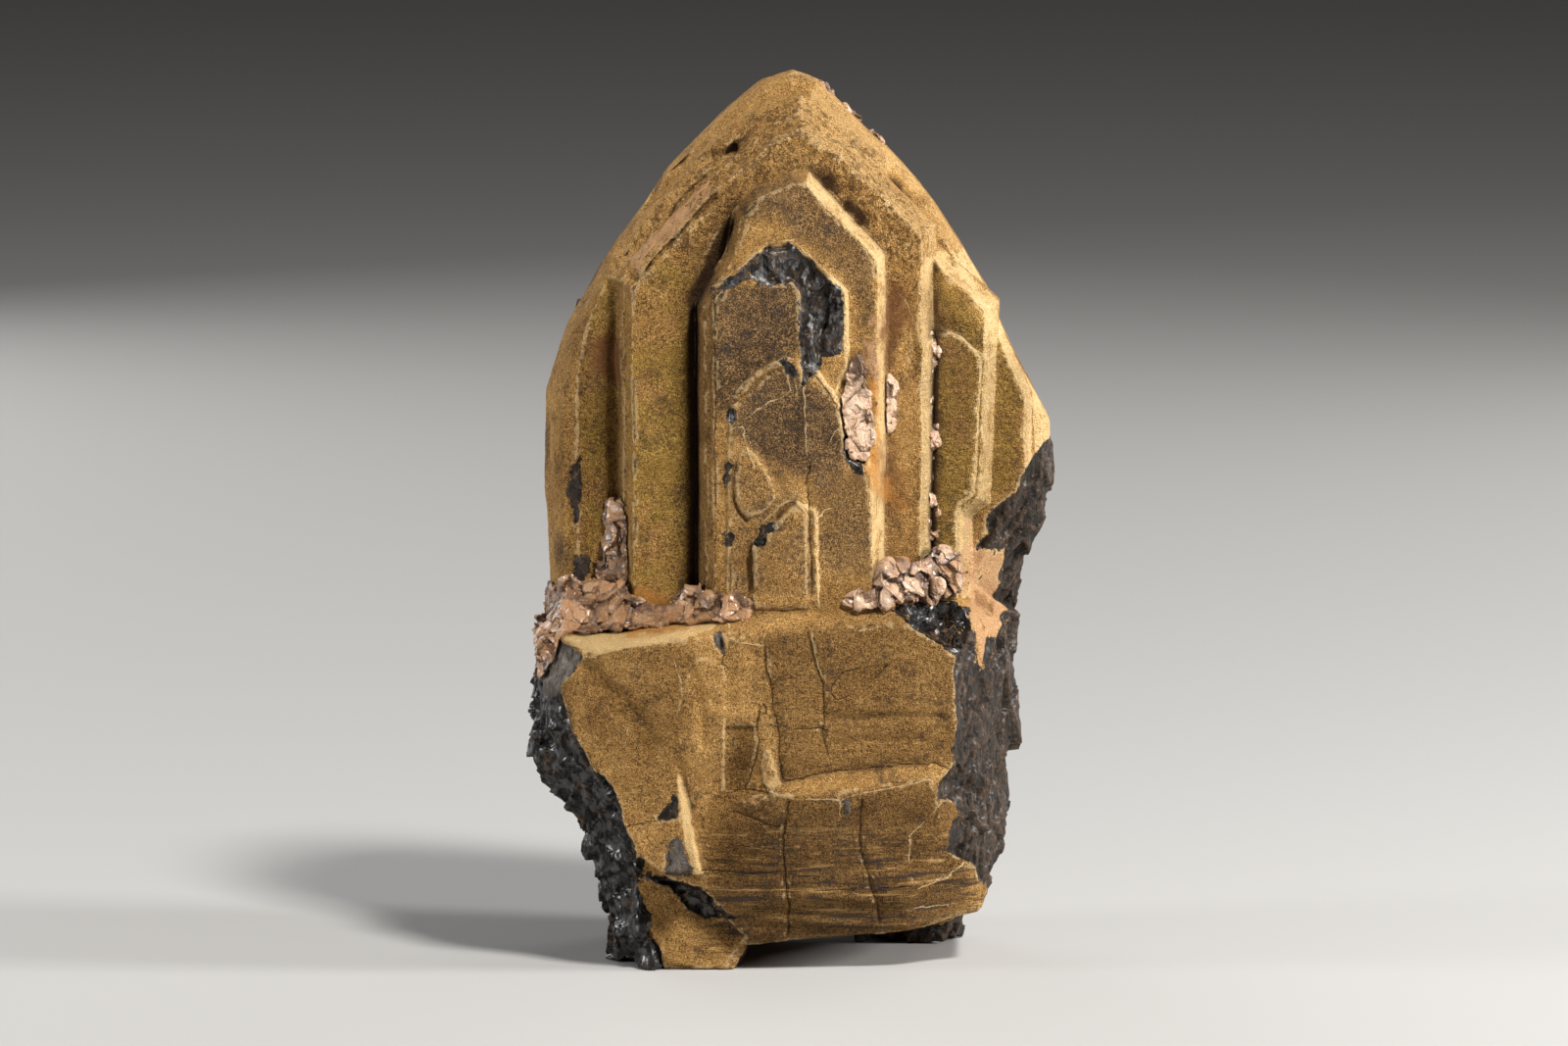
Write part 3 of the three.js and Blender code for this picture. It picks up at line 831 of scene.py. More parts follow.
SPLINTERY = {  # front limit, outline
    "tip": (-12.2, [(-8.8, 76.6), (-4.2, 80.3), (-2.6, 81.7), (0, 81.9), (0.5, 81.3), (2.4, 79.6),
        (4.4, 77.9), (5.7, 76.9), (6, 74.8), (6, 70.2), (5.3, 69.5), (3.5, 69.3), (3.3, 68), (2.2, 66.9),
        (1.4, 65.8), (1.2, 68.9), (0.8, 71.5), (1, 74.8), (0.9, 77), (0, 77.7), (-1.5, 77.3),
        (-3.5, 77.4), (-4.4, 78.3), (-6.3, 77.2)]),
    "left spot": (-13.5, [(-7.1, 63.7), (-6.2, 63.4), (-5.9, 62.2), (-6.6, 61.7), (-7.1, 62.2)]),
    "left spot low": (-13.5, [(-7, 57.7), (-6.4, 57.3), (-6.7, 56), (-7.4, 54), (-7.7, 54.6),
        (-7.5, 56.6)]),
    "left spot base": (-13.5, [(-7.6, 49.4), (-6.8, 49.8), (-6.3, 49.2), (-6.6, 48), (-7.3, 48)]),
    "column": (0, [(-24.9, 55.7), (-23.8, 57.2), (-23.7, 53.1), (-23.9, 48.7), (-24.7, 49.3),
        (-25.2, 52.8)]),
    "column low": (0, [(-24.5, 45.9), (-23, 46), (-22.8, 44), (-23.4, 42.6), (-24.1, 42.6), (-24.6, 44)]),
    "shoulder": (9, [(31.6, 59.9), (28.7, 57.9), (26.2, 54.5), (25.6, 52.6), (23.4, 51), (22.2, 49.8),
        (22.5, 47.9), (21.3, 46.6), (20.8, 44.3), (20.1, 42.1), (23.4, 40.8), (26.7, 41.5), (31.6, 41)]),
    "leg": (-14, [(-13.6, 14.8), (-12.6, 15.8), (-12.1, 15.1), (-11.6, 13.3), (-10.9, 12), (-11.1, 10.9),
        (-12.5, 10.6), (-13.8, 11.2), (-13.9, 13.2)]),
    "leg top": (-14, [(-14.9, 18), (-13.6, 19.2), (-13, 20.5), (-12.6, 20.1), (-12.5, 17.8),
        (-13.5, 17.5), (-14.8, 17.3)]),
    "chip": (-14, [(5.9, 19.9), (6.9, 19.9), (6.9, 18.3), (6.1, 18.3)]),
    "bevel": (-12, [(-8.6, 38.4), (-7.9, 38.6), (-7.3, 37.2), (-7.4, 36.3), (-8, 36.6), (-8.6, 37.5)]),
}
GLASSY = {
    "notch": (-10, [(11.5, 41), (12.9, 42.1), (16.2, 42.5), (18.4, 44), (19.6, 43.2), (20, 39.2),
        (19.5, 35.6), (18.2, 36), (16.3, 37.3), (15.1, 38.2), (13.5, 39.2)]),
    "pit": (-14, [(6, 60.2), (6.7, 60.4), (7.3, 59.5), (8.2, 57.8), (8.1, 55.8), (7.3, 56), (6.3, 57.2),
        (5.9, 58.7)]),
    "under the tip": (-14, [(-1.3, 68.8), (-0.6, 69.3), (0.7, 68.3), (0.6, 66.8), (-0.2, 67.1)]),
    "low pit": (-14, [(-4.4, 48.5), (-3.6, 49), (-3.7, 49.9), (-2.6, 50.7), (-1.9, 50.8), (-1.7, 50),
        (-2.6, 49.5), (-2.7, 48.3), (-3.1, 48)]),
    "overhang": (-12, [(-17, 10.9), (-14.5, 10.5), (-11.5, 10), (-10, 9.3), (-8.5, 7.8), (-6.5, 6.2),
        (-5.5, 5.9), (-9.5, 5.6), (-11, 6.4), (-12, 7.3), (-13.5, 9.3), (-17, 10.2)]),
}
# Pale grey over the breaks; the first patch, at the top of the left break, is a painted highlight.
ASHEN = [  # front limit, cap, outline
    (-8, 1, [(-26.8, 36.8), (-23.2, 35.9), (-25.7, 32), (-27.6, 30.5), (-28.4, 33)]),
    (-12, 1, [(-8.9, 38.8), (-7.1, 38.8), (-7.1, 36.1), (-8.9, 36.1)]),
    (-14, 0, [(5.5, 20.2), (7.2, 20.2), (7.2, 18), (5.5, 18)]),
    (-14, 0.1, [(-13.9, 16), (-10.8, 16), (-10.8, 10.5), (-13.9, 10.5)]),
]

# %% Stains and colours on the coat
FLESH_PATCH = [
    (2, 4, [(19.8, 50), (20.5, 46.4), (22.6, 45.8), (24.4, 45.6), (24.3, 43.8), (23.6, 42.2), (25, 41),
        (24.9, 39.2), (24, 38.4), (23.4, 36.8), (22, 36.9), (21.9, 35.5), (21.6, 33.4), (21.2, 33.2),
        (21, 35), (20.8, 37), (20.2, 38.5), (20.1, 42), (19.6, 46)]),
    (-1, 0.3, [(-18.4, 79.6), (-16.6, 81.4), (-12.6, 85.4), (-9.4, 88.6), (-8.9, 87.4), (-12, 84.2),
        (-15.4, 80.6), (-17.6, 78.6)]),
    (-9, 0, [(8.6, 70.6), (9.6, 75), (9.9, 75), (9.9, 66.4), (9.3, 66)]),
]
RUSTY = [
    (0, 4, [(-23.2, 69.2), (-21.5, 70.6), (-19.6, 70.9), (-19.6, 66), (-21.2, 66), (-22.6, 67.2)]),
    (-6, 1, [(10.4, 76.4), (11.5, 77.3), (12.4, 76.8), (13.4, 75), (13.3, 72.4), (12.2, 70.2),
        (11.6, 68.2), (10.4, 67.6)]),
    (-9, 1, [(6.4, 69), (7.5, 69.8), (9.3, 70), (9.3, 65.6), (8.4, 68.2), (7.2, 68.2), (6.2, 66)]),
    (-6, 0.2, [(9.9, 59), (11.6, 60.5), (11.8, 56), (13.6, 51.8), (11, 51), (10.1, 53.5)]),
]
ORANGE_STAINS = [
    (-8, 4, [(8.6, 66.1), (9.7, 66.6), (9.9, 57.8), (10, 53.5), (9.3, 54.5), (8.8, 57.5), (9.2, 61)]),
    (-6, 4, [(9.9, 56), (11, 54.6), (12.9, 51.9), (12, 51.9), (10.3, 53)]),
    (-6, 4, [(-18.2, 42.2), (-16.2, 42.6), (-13.8, 41.8), (-14.4, 40.2), (-17.8, 39.8)]),
    (-8, 4, [(-19.5, 38.5), (-14, 39), (-9.5, 39.8), (-9.6, 39.3), (-14, 38.4), (-18.4, 37.7)]),
]
OLIVE_FACES = [
    (-3, 4, [(-18, 76), (-14.5, 79), (-11.5, 78), (-11.2, 42), (-17.5, 42)]),
    (-2, 4, [(-23.6, 70), (-20.6, 77), (-20.2, 50), (-23.2, 45)]),
    (-4, 4, [(15.6, 79), (21.8, 72), (22, 52), (19.5, 46), (15.6, 44)]),
    (-2, 4, [(23.8, 70), (26, 66), (25.4, 54), (22.6, 52)]),
]
BROWN_FACES = [
    (-12.5, 1.6, [(-9, 77), (0.9, 78), (1, 70), (0, 68), (-3, 67.8), (-5, 65.5), (-7.5, 62.5),
        (-8.6, 62.5)]),
    (-12.5, 1.6, [(-5.2, 65.3), (-2.5, 67.8), (0, 68), (2.2, 66.5), (4.5, 65), (6.3, 62.3), (6, 57),
        (3, 55.6), (-1, 56.6), (-4, 59), (-6.8, 61)]),
    (-12.5, 0.2, [(2.6, 57), (8.6, 56), (8.7, 45), (3.6, 45)]),
    (-12.5, -0.2, [(-6.6, 57), (-2, 56), (2, 52), (2, 43), (-6.4, 43)]),
    (-11.5, 0.4, [(-5.5, 85.6), (-3.2, 88.8), (-0.6, 90.4), (2, 88), (6, 84), (9.2, 80.6), (9, 72),
        (6.6, 78), (0, 83.4)]),
    (-2, -0.6, [(15.4, 70.4), (19, 70.6), (21.8, 68.4), (21.9, 60), (17, 58.5), (15.4, 62)]),
    (-2, -0.8, [(16.6, 79.4), (21.8, 74), (22, 71), (16.8, 74)]),
]
# Darker places on the coat: painted shade on the lower block, under the overhang at the foot and beside
# the front crystals, with a darker tone mixed in.
DARK_AND_SHADED_FACES = [
    (-9, 4, [(-0.8, 19.9), (5.4, 19.9), (16.4, 22), (19.8, 18), (20.6, 6.4), (13.5, 3), (-0.8, 2),
        (-8, 4), (-9.4, 9.8), (-9, 13), (-7.4, 20)]),
    (-12, 1.6, [(-7.3, 27.8), (-4.2, 27.8), (-3.5, 25), (-4.6, 20.9), (-7.3, 20.8)]),
    (-12, 0.3, [(-2.8, 38), (12, 40), (18.4, 36), (18, 24.2), (9, 23.6), (-1, 22.4)]),
    (-12, 1, [(4, 29.5), (17, 29.7), (17, 28.4), (4, 28.3)]),
    (-12, -0.3, [(-22, 36.4), (-12.9, 36.6), (-12.4, 31), (-12.6, 24), (-14, 18), (-19, 22), (-23, 32)]),
    (-10, -1.6, [(-16.4, 9), (-6, 5), (-5, 0), (-16, 0)]),
    (-1, -0.2, [(-24, 72), (-20, 76), (-20, 44), (-24.4, 44)]),
    (-4, 4, [(-12.4, 42), (-12.2, 74), (-10.6, 79.6), (-6.4, 86.4), (-5.2, 85.4), (-8.4, 78), (-9.4, 73),
        (-9.4, 42)]),
    (-1, -0.3, [(15.4, 76), (21, 70), (26, 66), (26, 54), (20, 44), (15.4, 44)]),
]
LIT_BANDS = [  # cream strips on a ledge facing up and on walls facing right: painted highlight
    (-12, 1, [(-26.2, 37.4), (-20, 37.9), (-15, 38.2), (-8.3, 39.6), (-8.7, 38.8), (-12, 37.8), (-17, 37),
        (-20, 36.3), (-22.5, 36.1), (-25.6, 36.9)]),
    (-13, 1, [(-12.8, 24.3), (-12, 22), (-11.1, 19), (-10.8, 16), (-10.3, 13.5), (-9.7, 11), (-9.9, 9.9),
        (-10.6, 11.4), (-11.3, 13), (-11.9, 16), (-12.3, 19), (-12.6, 22)]),
    (-13, -0.02, [(-2.9, 25.2), (-2.3, 24.7), (-1.8, 22.8), (-1.3, 21.8), (-2, 20.5), (-2.6, 21.2),
        (-3, 22.8)]),
    (-6, 1, [(19, 54), (19.2, 51), (20, 50), (19.8, 45.6), (18.9, 45.6), (18.9, 51)]),
]

# %% Relief drawn on the faces
CRACKS = [  # front limit, strength, line
    (-13, 1, [(1.7, 58.3), (2.1, 57.2), (2, 56.2), (1.7, 55.1), (2, 54), (2, 53), (2.1, 51.8),
        (2.1, 49.8), (2.3, 47.8), (2.4, 45.8), (2.3, 43)]),
    (-15, 1, [(2, 38.5), (2.2, 36.8), (2.7, 34.8), (3.4, 33), (3.5, 31.2), (3.6, 30.4), (3.8, 29),
        (3.6, 27.5), (3.9, 25.8), (4.2, 25)]),
    (-15, 1, [(-2.8, 37), (-2.8, 34.8), (-2.5, 33.4), (-2.1, 31.8), (-2, 29.8), (-1.5, 28.2),
        (-1.2, 26.2), (-1.2, 24.2), (-0.9, 21.9)]),
    (-15, 0.9, [(-3.6, 29.8), (-3.9, 27.8), (-3.5, 26.2), (-3.8, 24.2), (-4.6, 21.8), (-5, 21)]),
    (-15, 1, [(-0.2, 19.7), (-0.4, 18.2), (-0.6, 16.8), (-0.8, 14.8), (-0.7, 12.2), (-0.5, 9.8),
        (-0.2, 7.8), (-0.1, 4.8), (-0.2, 4)]),
    (-15, 1, [(8.1, 19.6), (7.9, 17.8), (7.7, 15.8), (7.8, 13.8), (8.5, 11.8), (9, 9.8), (9.8, 7.8),
        (10.1, 5.8)]),
    (-15, 0.6, [(-7.4, 36.6), (-7.7, 35.2), (-7.1, 34.7)]),
    (-15, 0.42, [(6.4, 31.3), (4.9, 30.9), (4.3, 31.6), (4.7, 33.1), (6, 34.1), (7.8, 34.6), (10.8, 35),
        (9.7, 33.6), (8.4, 32.5)]),
    (-15, 0.9, [(0.4, 27.6), (2, 27.6), (3.4, 27.8), (3.9, 27.3)]),
    (-15, 1, [(-6.5, 20.7), (-4, 20.8), (-2.3, 20.7)]),
    (-15, 1, [(-6.2, 18.4), (-4, 17.6), (-1.3, 16.8)]),
    (-15, 1, [(-1, 21.8), (2, 22.3), (5, 22.8), (9, 23.2), (13, 23.7), (16, 23.7), (17.5, 23)]),
    (-15, 0.7, [(-18, 16.8), (-16.5, 17.2), (-15, 17.3)]),
    (-13, 0.6, [(-9.8, 11.7), (-5, 11.4), (-2, 11.5), (-0.5, 11.4), (3, 11)]),
    (-13, 0.6, [(-8, 14.8), (-6, 14.5), (-3, 14.4)]),
    (-13, 0.6, [(3, 9.4), (9, 9.5), (14, 9.7)]),
    (-11, 0.7, [(-8.5, 46), (-8.45, 56), (-8.5, 66), (-8.6, 76)]),
    (-11, 0.6, [(-18.35, 52), (-18.3, 64), (-18.4, 74)]),
    (-13, 0.9, [(2.8, 67.4), (4.5, 64.9), (6.2, 62.1), (7.4, 60.2)]),
]
CREASES = [  # front limit, width, depth, line
    (-12, 1.1, 0.75, [(-23, 34.4), (-21, 32.4), (-19, 30.8), (-17, 28.6), (-15.5, 26)]),
    (-12, 0.45, 0.42, [(-19.5, 29.6), (-17.5, 27.2), (-15.6, 24.6)]),
    (-13, 0.4, 0.5, [(-4.5, 48.2), (-4.9, 45.3), (-4.6, 43.6), (-4.1, 43)]),
    (-13, 0.28, 0.35, [(-6.1, 57), (-6.4, 54.8), (-6.3, 53.3), (-5.8, 52), (-4.9, 51)]),
    (-13, 0.25, 0.3, [(-1, 67.9), (-2.4, 67.5), (-4, 66.2), (-5.2, 65), (-6.4, 64.2)]),
    (-13, 0.3, 0.35, [(-1.6, 51.4), (-0.4, 52.6), (0.3, 52.9)]),
    (-15, 0.55, 0.34, [(4.4, 28.6), (10, 28.9), (17, 29)]),
    (-15, 0.45, 0.22, [(5, 25.8), (9, 26.2), (15, 26.4)]),
    (-12, 0.4, 0.3, [(-11.4, 35.6), (-10.4, 33), (-9.8, 29.5), (-9.6, 26)]),
    (-9, 0.25, 0.2, [(13.2, 75.4), (13.7, 72), (14.3, 68)]),
    (-9, 0.25, 0.2, [(12.9, 73.4), (13.3, 70), (13.9, 67)]),
    (-9, 0.22, 0.16, [(12.4, 71.4), (12.9, 68.6), (13.5, 66.2)]),
    (1, 0.55, 0.95, [(-19, 80), (-17, 82), (-13, 86), (-9.4, 89.6), (-6.6, 92)]),
    (-1, 0.45, 0.6, [(-17.6, 77.6), (-15, 80), (-12, 83.4), (-8.4, 86.6)]),
    (2, 0.4, 0.6, [(-21.4, 80.6), (-17, 84.6), (-12.6, 88.4), (-8, 91.6)]),
    (-9, 0.4, 0.3, [(6.5, 91), (8.5, 89), (11, 87.6), (14.3, 84.4)]),
]
PROUD = [  # front limit, height, outline of a raised place
    (-13, 0.3, [(-6, 56.8), (-6.2, 54.8), (-6.1, 53.3), (-5.6, 52.1), (-4.8, 51.2), (-3, 52),
        (-1.6, 53.4), (-2.4, 56.4), (-4.2, 58.8), (-5.5, 59)]),
    (-13, 0.28, [(-4.2, 43.2), (-4.3, 48), (-3, 50.2), (0.2, 52.8), (1.9, 51.4), (2, 41), (-4, 41)]),
    (-2, 0.35, [(15, 70.2), (16, 71), (17.5, 71.2), (19, 70.6), (20.5, 69.3), (22.2, 68), (21.9, 60),
        (21.7, 55), (20.3, 51.8), (19.6, 50.4), (19.3, 46), (15, 46)]),
    (-13, 0.45, [(-3, 25.2), (-2.3, 25.2), (-1.5, 22.6), (-1.2, 21.2), (-2.2, 20.4), (-3, 21.4),
        (-3.4, 23.4)]),
    (-13, -0.3, [(-7.3, 27.9), (-4.4, 27.9), (-4, 26), (-4.9, 21), (-7.3, 20.8)]),
    (-13, -0.18, [(13.4, 15.6), (15.2, 17.4), (17.2, 19.4), (22, 18), (22, 12.6), (18.6, 11.2), (15, 9.9),
        (13.8, 10), (13.3, 13)]),
    (2, -0.4, [(-23.8, 43), (-24, 66), (-22.6, 72.4), (-20.6, 77), (-19, 77), (-19, 43)]),
    (-13, -0.14, [(4.9, 30.9), (4.3, 31.6), (4.7, 33.1), (6, 34.1), (7.8, 34.6), (10.8, 35), (9.7, 33.6),
        (8.4, 32.5), (6.4, 31.3)]),
    (-13, 0.2, [(-10.4, 36), (-7.4, 35), (-7.4, 21), (-10.8, 18), (-12.4, 26), (-12.6, 32)]),
]
EDGES = [  # front limit, strength, line: fine cream lines that stand a little proud
    (-13, 1, [(0.9, 77), (1, 74.8), (0.9, 71.5), (1.1, 68.3), (1.2, 67.2), (1.5, 66), (1.6, 64.8),
        (1.6, 62.2), (1.7, 59.8), (1.8, 58.3), (2.1, 57.2)]),
    (-13, 1, [(2.6, 67.9), (3.6, 66.6), (4.4, 65.5), (5.3, 64), (6.1, 62.4), (7.2, 60.4)]),
    (-13, 0.7, [(-0.5, 67.5), (0, 66.4), (0.1, 65.6), (-1, 64.7), (-2.9, 63.9), (-4.8, 62.5)]),
    (-13, 0.8, [(-6.8, 60.9), (-5.9, 61.5), (-5.3, 61.4)]),
    (-13, 0.6, [(-5.3, 60.6), (-4.6, 58.6), (-4.2, 57.6)]),
    (-13, 0.9, [(-3.1, 50.9), (-1.2, 52.7), (0.2, 53.2), (1.2, 52.5), (2.1, 51.2)]),
    (-13, 0.8, [(2.3, 50.7), (3, 51.2), (3.8, 52), (4.3, 52.1)]),
    (-13, 0.5, [(0, 53.4), (0.6, 54.2), (1.4, 54.5)]),
    (-13, 0.5, [(5.9, 61.9), (5, 60.6), (4.4, 59.8)]),
    (-13, 0.9, [(-8.8, 76.9), (-6.3, 78.9), (-4.2, 80.6), (-2.6, 82), (0.1, 82.2), (2.5, 80), (5.8, 77.2),
        (6.3, 74.8), (6.3, 70), (6.1, 66.6)]),
    (-13, 1, [(-2.3, 20.7), (-1, 20.2), (1, 20), (3, 20), (5.6, 19.9)]),
    (-13, 0.5, [(6.6, 20.3), (10, 20.9), (14, 21.7), (16.9, 22.2)]),
    (-13, 1, [(5.5, 20.1), (5.6, 18.3)]),
    (-13, 0.35, [(17, 19.5), (15, 17.2), (13.2, 15.6), (13.2, 12.8)]),
    (-13, 0.5, [(14.5, 9.5), (17, 10.3), (19.5, 11.8)]),
    (-13, 0.5, [(13, 6.8), (16, 7), (19.6, 7)]),
    (-13, 0.6, [(-12.9, 35), (-12.4, 33.2), (-12.1, 31.6)]),
    (-13, 0.8, [(-7.2, 39.7), (-6.7, 38.4), (-6, 37.4), (-3, 37.2)]),
    (-13, 0.6, [(-2.5, 37.2), (-2.5, 34.8), (-2.2, 33.4)]),
    (-13, 0.6, [(2.3, 38.4), (2.5, 36.7), (3, 34.8), (3.7, 33.2)]),
    (-6, 0.9, [(17.5, 71.2), (19, 70.6), (20.5, 69.3), (22.2, 68)]),
    (-8, 0.7, [(12.4, 75.6), (13.3, 74.6), (13.9, 72.4)]),
    (-6, 0.8, [(-20.5, 79.2), (-22.6, 76.4), (-24.2, 73.8)]),
]
CHANNELS = [  # front limit, width, depth, line
    (-2, 0.55, 0.5, [(-19.9, 50), (-19.9, 78), (-18.6, 81.5)]),
    (-6, 0.8, 1.3, [(-10.3, 42.5), (-10.4, 62), (-10.6, 75), (-8.6, 79.5), (-5.6, 85)]),
    (-4, 0.5, 0.6, [(15.6, 44), (15.6, 79)]),
    (0, 0.6, 0.7, [(-15, 88.5), (-11.5, 90), (-5, 92.5)]),
]
print(len(SPLINTERY) + len(GLASSY), "small breaks,", len(CRACKS), "cracks,", len(EDGES), "edges")

# %% [markdown]
# ## The crystal group
# The remeshed skin is worked in the order nature did: the crystals' own growth
# relief first, then worn edges and cracks, then the breaks, which cut through
# everything.
# Glassy breaks are shell-like scoops with sharp ridges between them, splintery
# ones are drawn out along the crystal's length. Last of all the whole shape is
# bent by a broad noise, less than half a millimetre, so that no edge is ruled.

# %% Skin
FINE = 0.21  # mm between points
crystal = skin_of("euxenite_crystal", "euxenite", FINE)
mesh = crystal.data
mean = neighbour_mean(mesh)
at = read(mesh)
facing = relax(read(mesh, "normal"), mean, 3)
facing /= np.linalg.norm(facing, axis=1)[:, None] + 1e-9
x, y, z = at.T
front = step(-facing[:, 1], 0.05, 0.35)

# %% Break masks: where the coat is gone, and how it broke
wobble = at + drift_of(at, 3.0, 1) * 0.7
fine_wobble = at + np.c_[rough(at, 1.2, 25), np.zeros(len(at)), rough(at, 1.2, 26)] * 0.16
wx, wy, wz = wobble.T
right_break = np.minimum(wx - np.interp(wz, *np.array(RIGHT_EDGE).T), 45 - wz)
left_break = np.minimum(np.interp(wz, *np.array(LEFT_EDGE).T) - wx, 42 - wz)
back_break = np.minimum(wy - (3 + 4 * rough(at, 14, 4)), 33 + 7 * rough(at, 12, 5) - wz)
back_chips = np.minimum(wy - 6, 9 * rough(at, (9, 9, 14), 6) - 4.4)
base_break = 2.2 + 1.5 * rough(at, 4, 7) - wz - 40 * step(-y, 14, 16)
splinter_parts = [right_break, back_break, back_chips, base_break]
splinter_parts += [inside_by(fine_wobble, line, limit) for limit, line in SPLINTERY.values()]
glass_parts = [left_break] + [inside_by(fine_wobble, line, limit) for limit, line in GLASSY.values()]
flesh = inside_any(fine_wobble, FLESH_PATCH)
splinter_in = np.max(splinter_parts, axis=0)
glass_in = np.max(glass_parts, axis=0)
bare = np.clip(np.minimum(np.maximum(splinter_in, glass_in), -flesh), -4, 4)
glassy = step(glass_in - splinter_in + 1.2 * rough(at, 4, 8), -0.6, 0.6)
glassy = np.maximum(glassy, step(rough(at, (7, 7, 9), 9), 0.22, 0.32) * (y > 0))
torn = step(bare, -0.12, 0.25)
print("bare share of the points:", round(float((bare > 0).mean()), 2))

# %% [markdown]
# ## Growth, wear and cracks
# The plates grew in layers, so the foot shows beds and every face waves a
# little. Sides and back wave more and carry faint upright lines. Outer edges,
# found where the surface bends most, are worn down and nicked, since no edge of
# a real crystal stays ruled. Cracks and creases are lines with a depth.

# %% Growth relief on the coat
level = 0.06 * rough(at, 6, 10) + 0.05 * rough(at, 2.2, 33)
plain = np.maximum(step(y, -6, 2), step(-x, 17, 20)) * step(z, 34, 40)  # sides and back
level += plain * (0.16 * rough(at, (5, 5, 9), 34) + 0.06 * rough(at, (0.9, 0.9, 12), 35))
layered = step(17.5 - z, 0, 2.5) * step(z, 0.5, 2) * step(x, -12, -8) * (1 - torn)
beds = rough(np.c_[x, y, z + 0.06 * x + 0.9 * rough(at, 11, 12)], (12, 9, 1.0), 13)
level += layered * 0.20 * beds
blocky = front * step(40 - z, 0, 2)
level += blocky * (0.15 * rough(at, (7, 7, 2.2), 14) + 0.05 * rough(at, (1.7, 1.7, 1.1), 45))
ripple = step(z, 40, 44) * front * step(-14 - y, 0, 1)
level += ripple * 0.06 * rough(np.c_[x, y, z - 0.15 * (x + 1) ** 2], (5, 5, 1.4), 15)
coarse = front * step(z, 74, 82) * step(99 - z, 0, 3) * step(y, -12.6, -11) * step(-y, 2, 5)
level -= coarse * 0.20 * step(rough(at, (1.2, 1.2, 1.6), 24), 0.0, 0.5)
for limit, height, line in PROUD:
    level += height * front * step(inside_by(fine_wobble, line, limit), -0.12, 0.12)

# %% Worn and nicked edges
NICK = 0.28  # mm
level += 0.030 * rough(at, 0.9, 39)
bend = np.einsum("ij,ij->i", at - relax(at, mean, 6, 1.0), facing)
outer = step(relax(step(bend, 0.02, 0.06), mean, 8), 0.25, 0.65)
nicked = step(rough(at, (2.6, 2.6, 3.4), 36) + 0.5 * rough(at, 0.9, 37), 0.05, 0.35)
level += outer * (0.10 * rough(at, 0.8, 38) - NICK * nicked)
print("share of points on outer edges:", round(float((outer > 0.5).mean()), 3))

# %% Cracks, creases and fine edges
CRACK_DEPTH = 0.20  # mm
EDGE_HEIGHT = 0.10
crack, crack_side = draw(fine_wobble, CRACKS)
level -= front * CRACK_DEPTH * step(crack, 0.50, 1.0)
forward = np.maximum(front, step(-facing[:, 1], -0.15, 0.05) * step(z, 76, 80))
for limit, width, depth, line in CREASES:
    level -= forward * depth * np.exp(-((line_away(fine_wobble, line, limit) / width) ** 2))
edge, edge_side = draw(fine_wobble, EDGES)
level += front * EDGE_HEIGHT * step(edge, 0.3, 0.9)
channel = np.zeros(len(at))
for limit, width, depth, line in CHANNELS:
    away = line_away(wobble * (0.3, 1, 0.3) + at * (0.7, 0, 0.7), line, limit)
    channel = np.maximum(channel, depth * np.exp(-((away / width) ** 2)))

# %% [markdown]
# ## Breaks in the mesh
# A break is sunk below the coat and then roughened: tilted plates for the
# splintery ones, deeper shells for the glassy ones, and crumpled ridges over
# both. Voronoi cells with a tilt give flat chips with sharp steps between them,
# which plain noise can't.

# %% Breaks
CHIPPED_AWAY = 0.28  # mm that the coat stands above a break
deep = bare > -0.5
splinters = np.zeros(len(at))
shells = np.zeros(len(at))
slanted = np.c_[x - 0.2 * z, y, z][deep]
slanted += 0.5 * drift_of(slanted, 3, 19)
crumpled = ridges(slanted, (1.5, 1.5, 2.8), 22) * 0.30 + ridges(slanted, (0.7, 0.7, 1.3), 23) * 0.14
chips = facets(slanted, (1.3, 1.3, 2.2), 5, 0.5, 0.22)
plates = facets(slanted, (5.5, 5.5, 12.0), 1, 0.32, 0.10)
plates += facets(slanted, (2.4, 2.4, 5.0), 6, 0.45, 0.12)
splinters[deep] = plates + 0.7 * crumpled + 0.45 * chips - 0.10
shells[deep] = facets(slanted, (3.2, 3.2, 4.4), 3, 0.65, 0.20) + 0.7 * crumpled + 0.5 * chips - 0.15
depth_in = step(bare, -0.1, 1.6)
hackly = (0.4 + 0.6 * depth_in) * (glassy * shells + (1 - glassy) * splinters)
level = level * (1 - torn) + torn * (hackly - CHIPPED_AWAY)

# %% Bend everything, then rest it on its feet
SWAY = 0.20  # mm
at = at + facing * level[:, None]
at[:, 1] += front * channel
at = at + SWAY * drift_of(at, 9.0, 30) * step(z, 0, 3)[:, None]
at[:, 2] = np.maximum(at[:, 2], 0)
write(mesh, at)
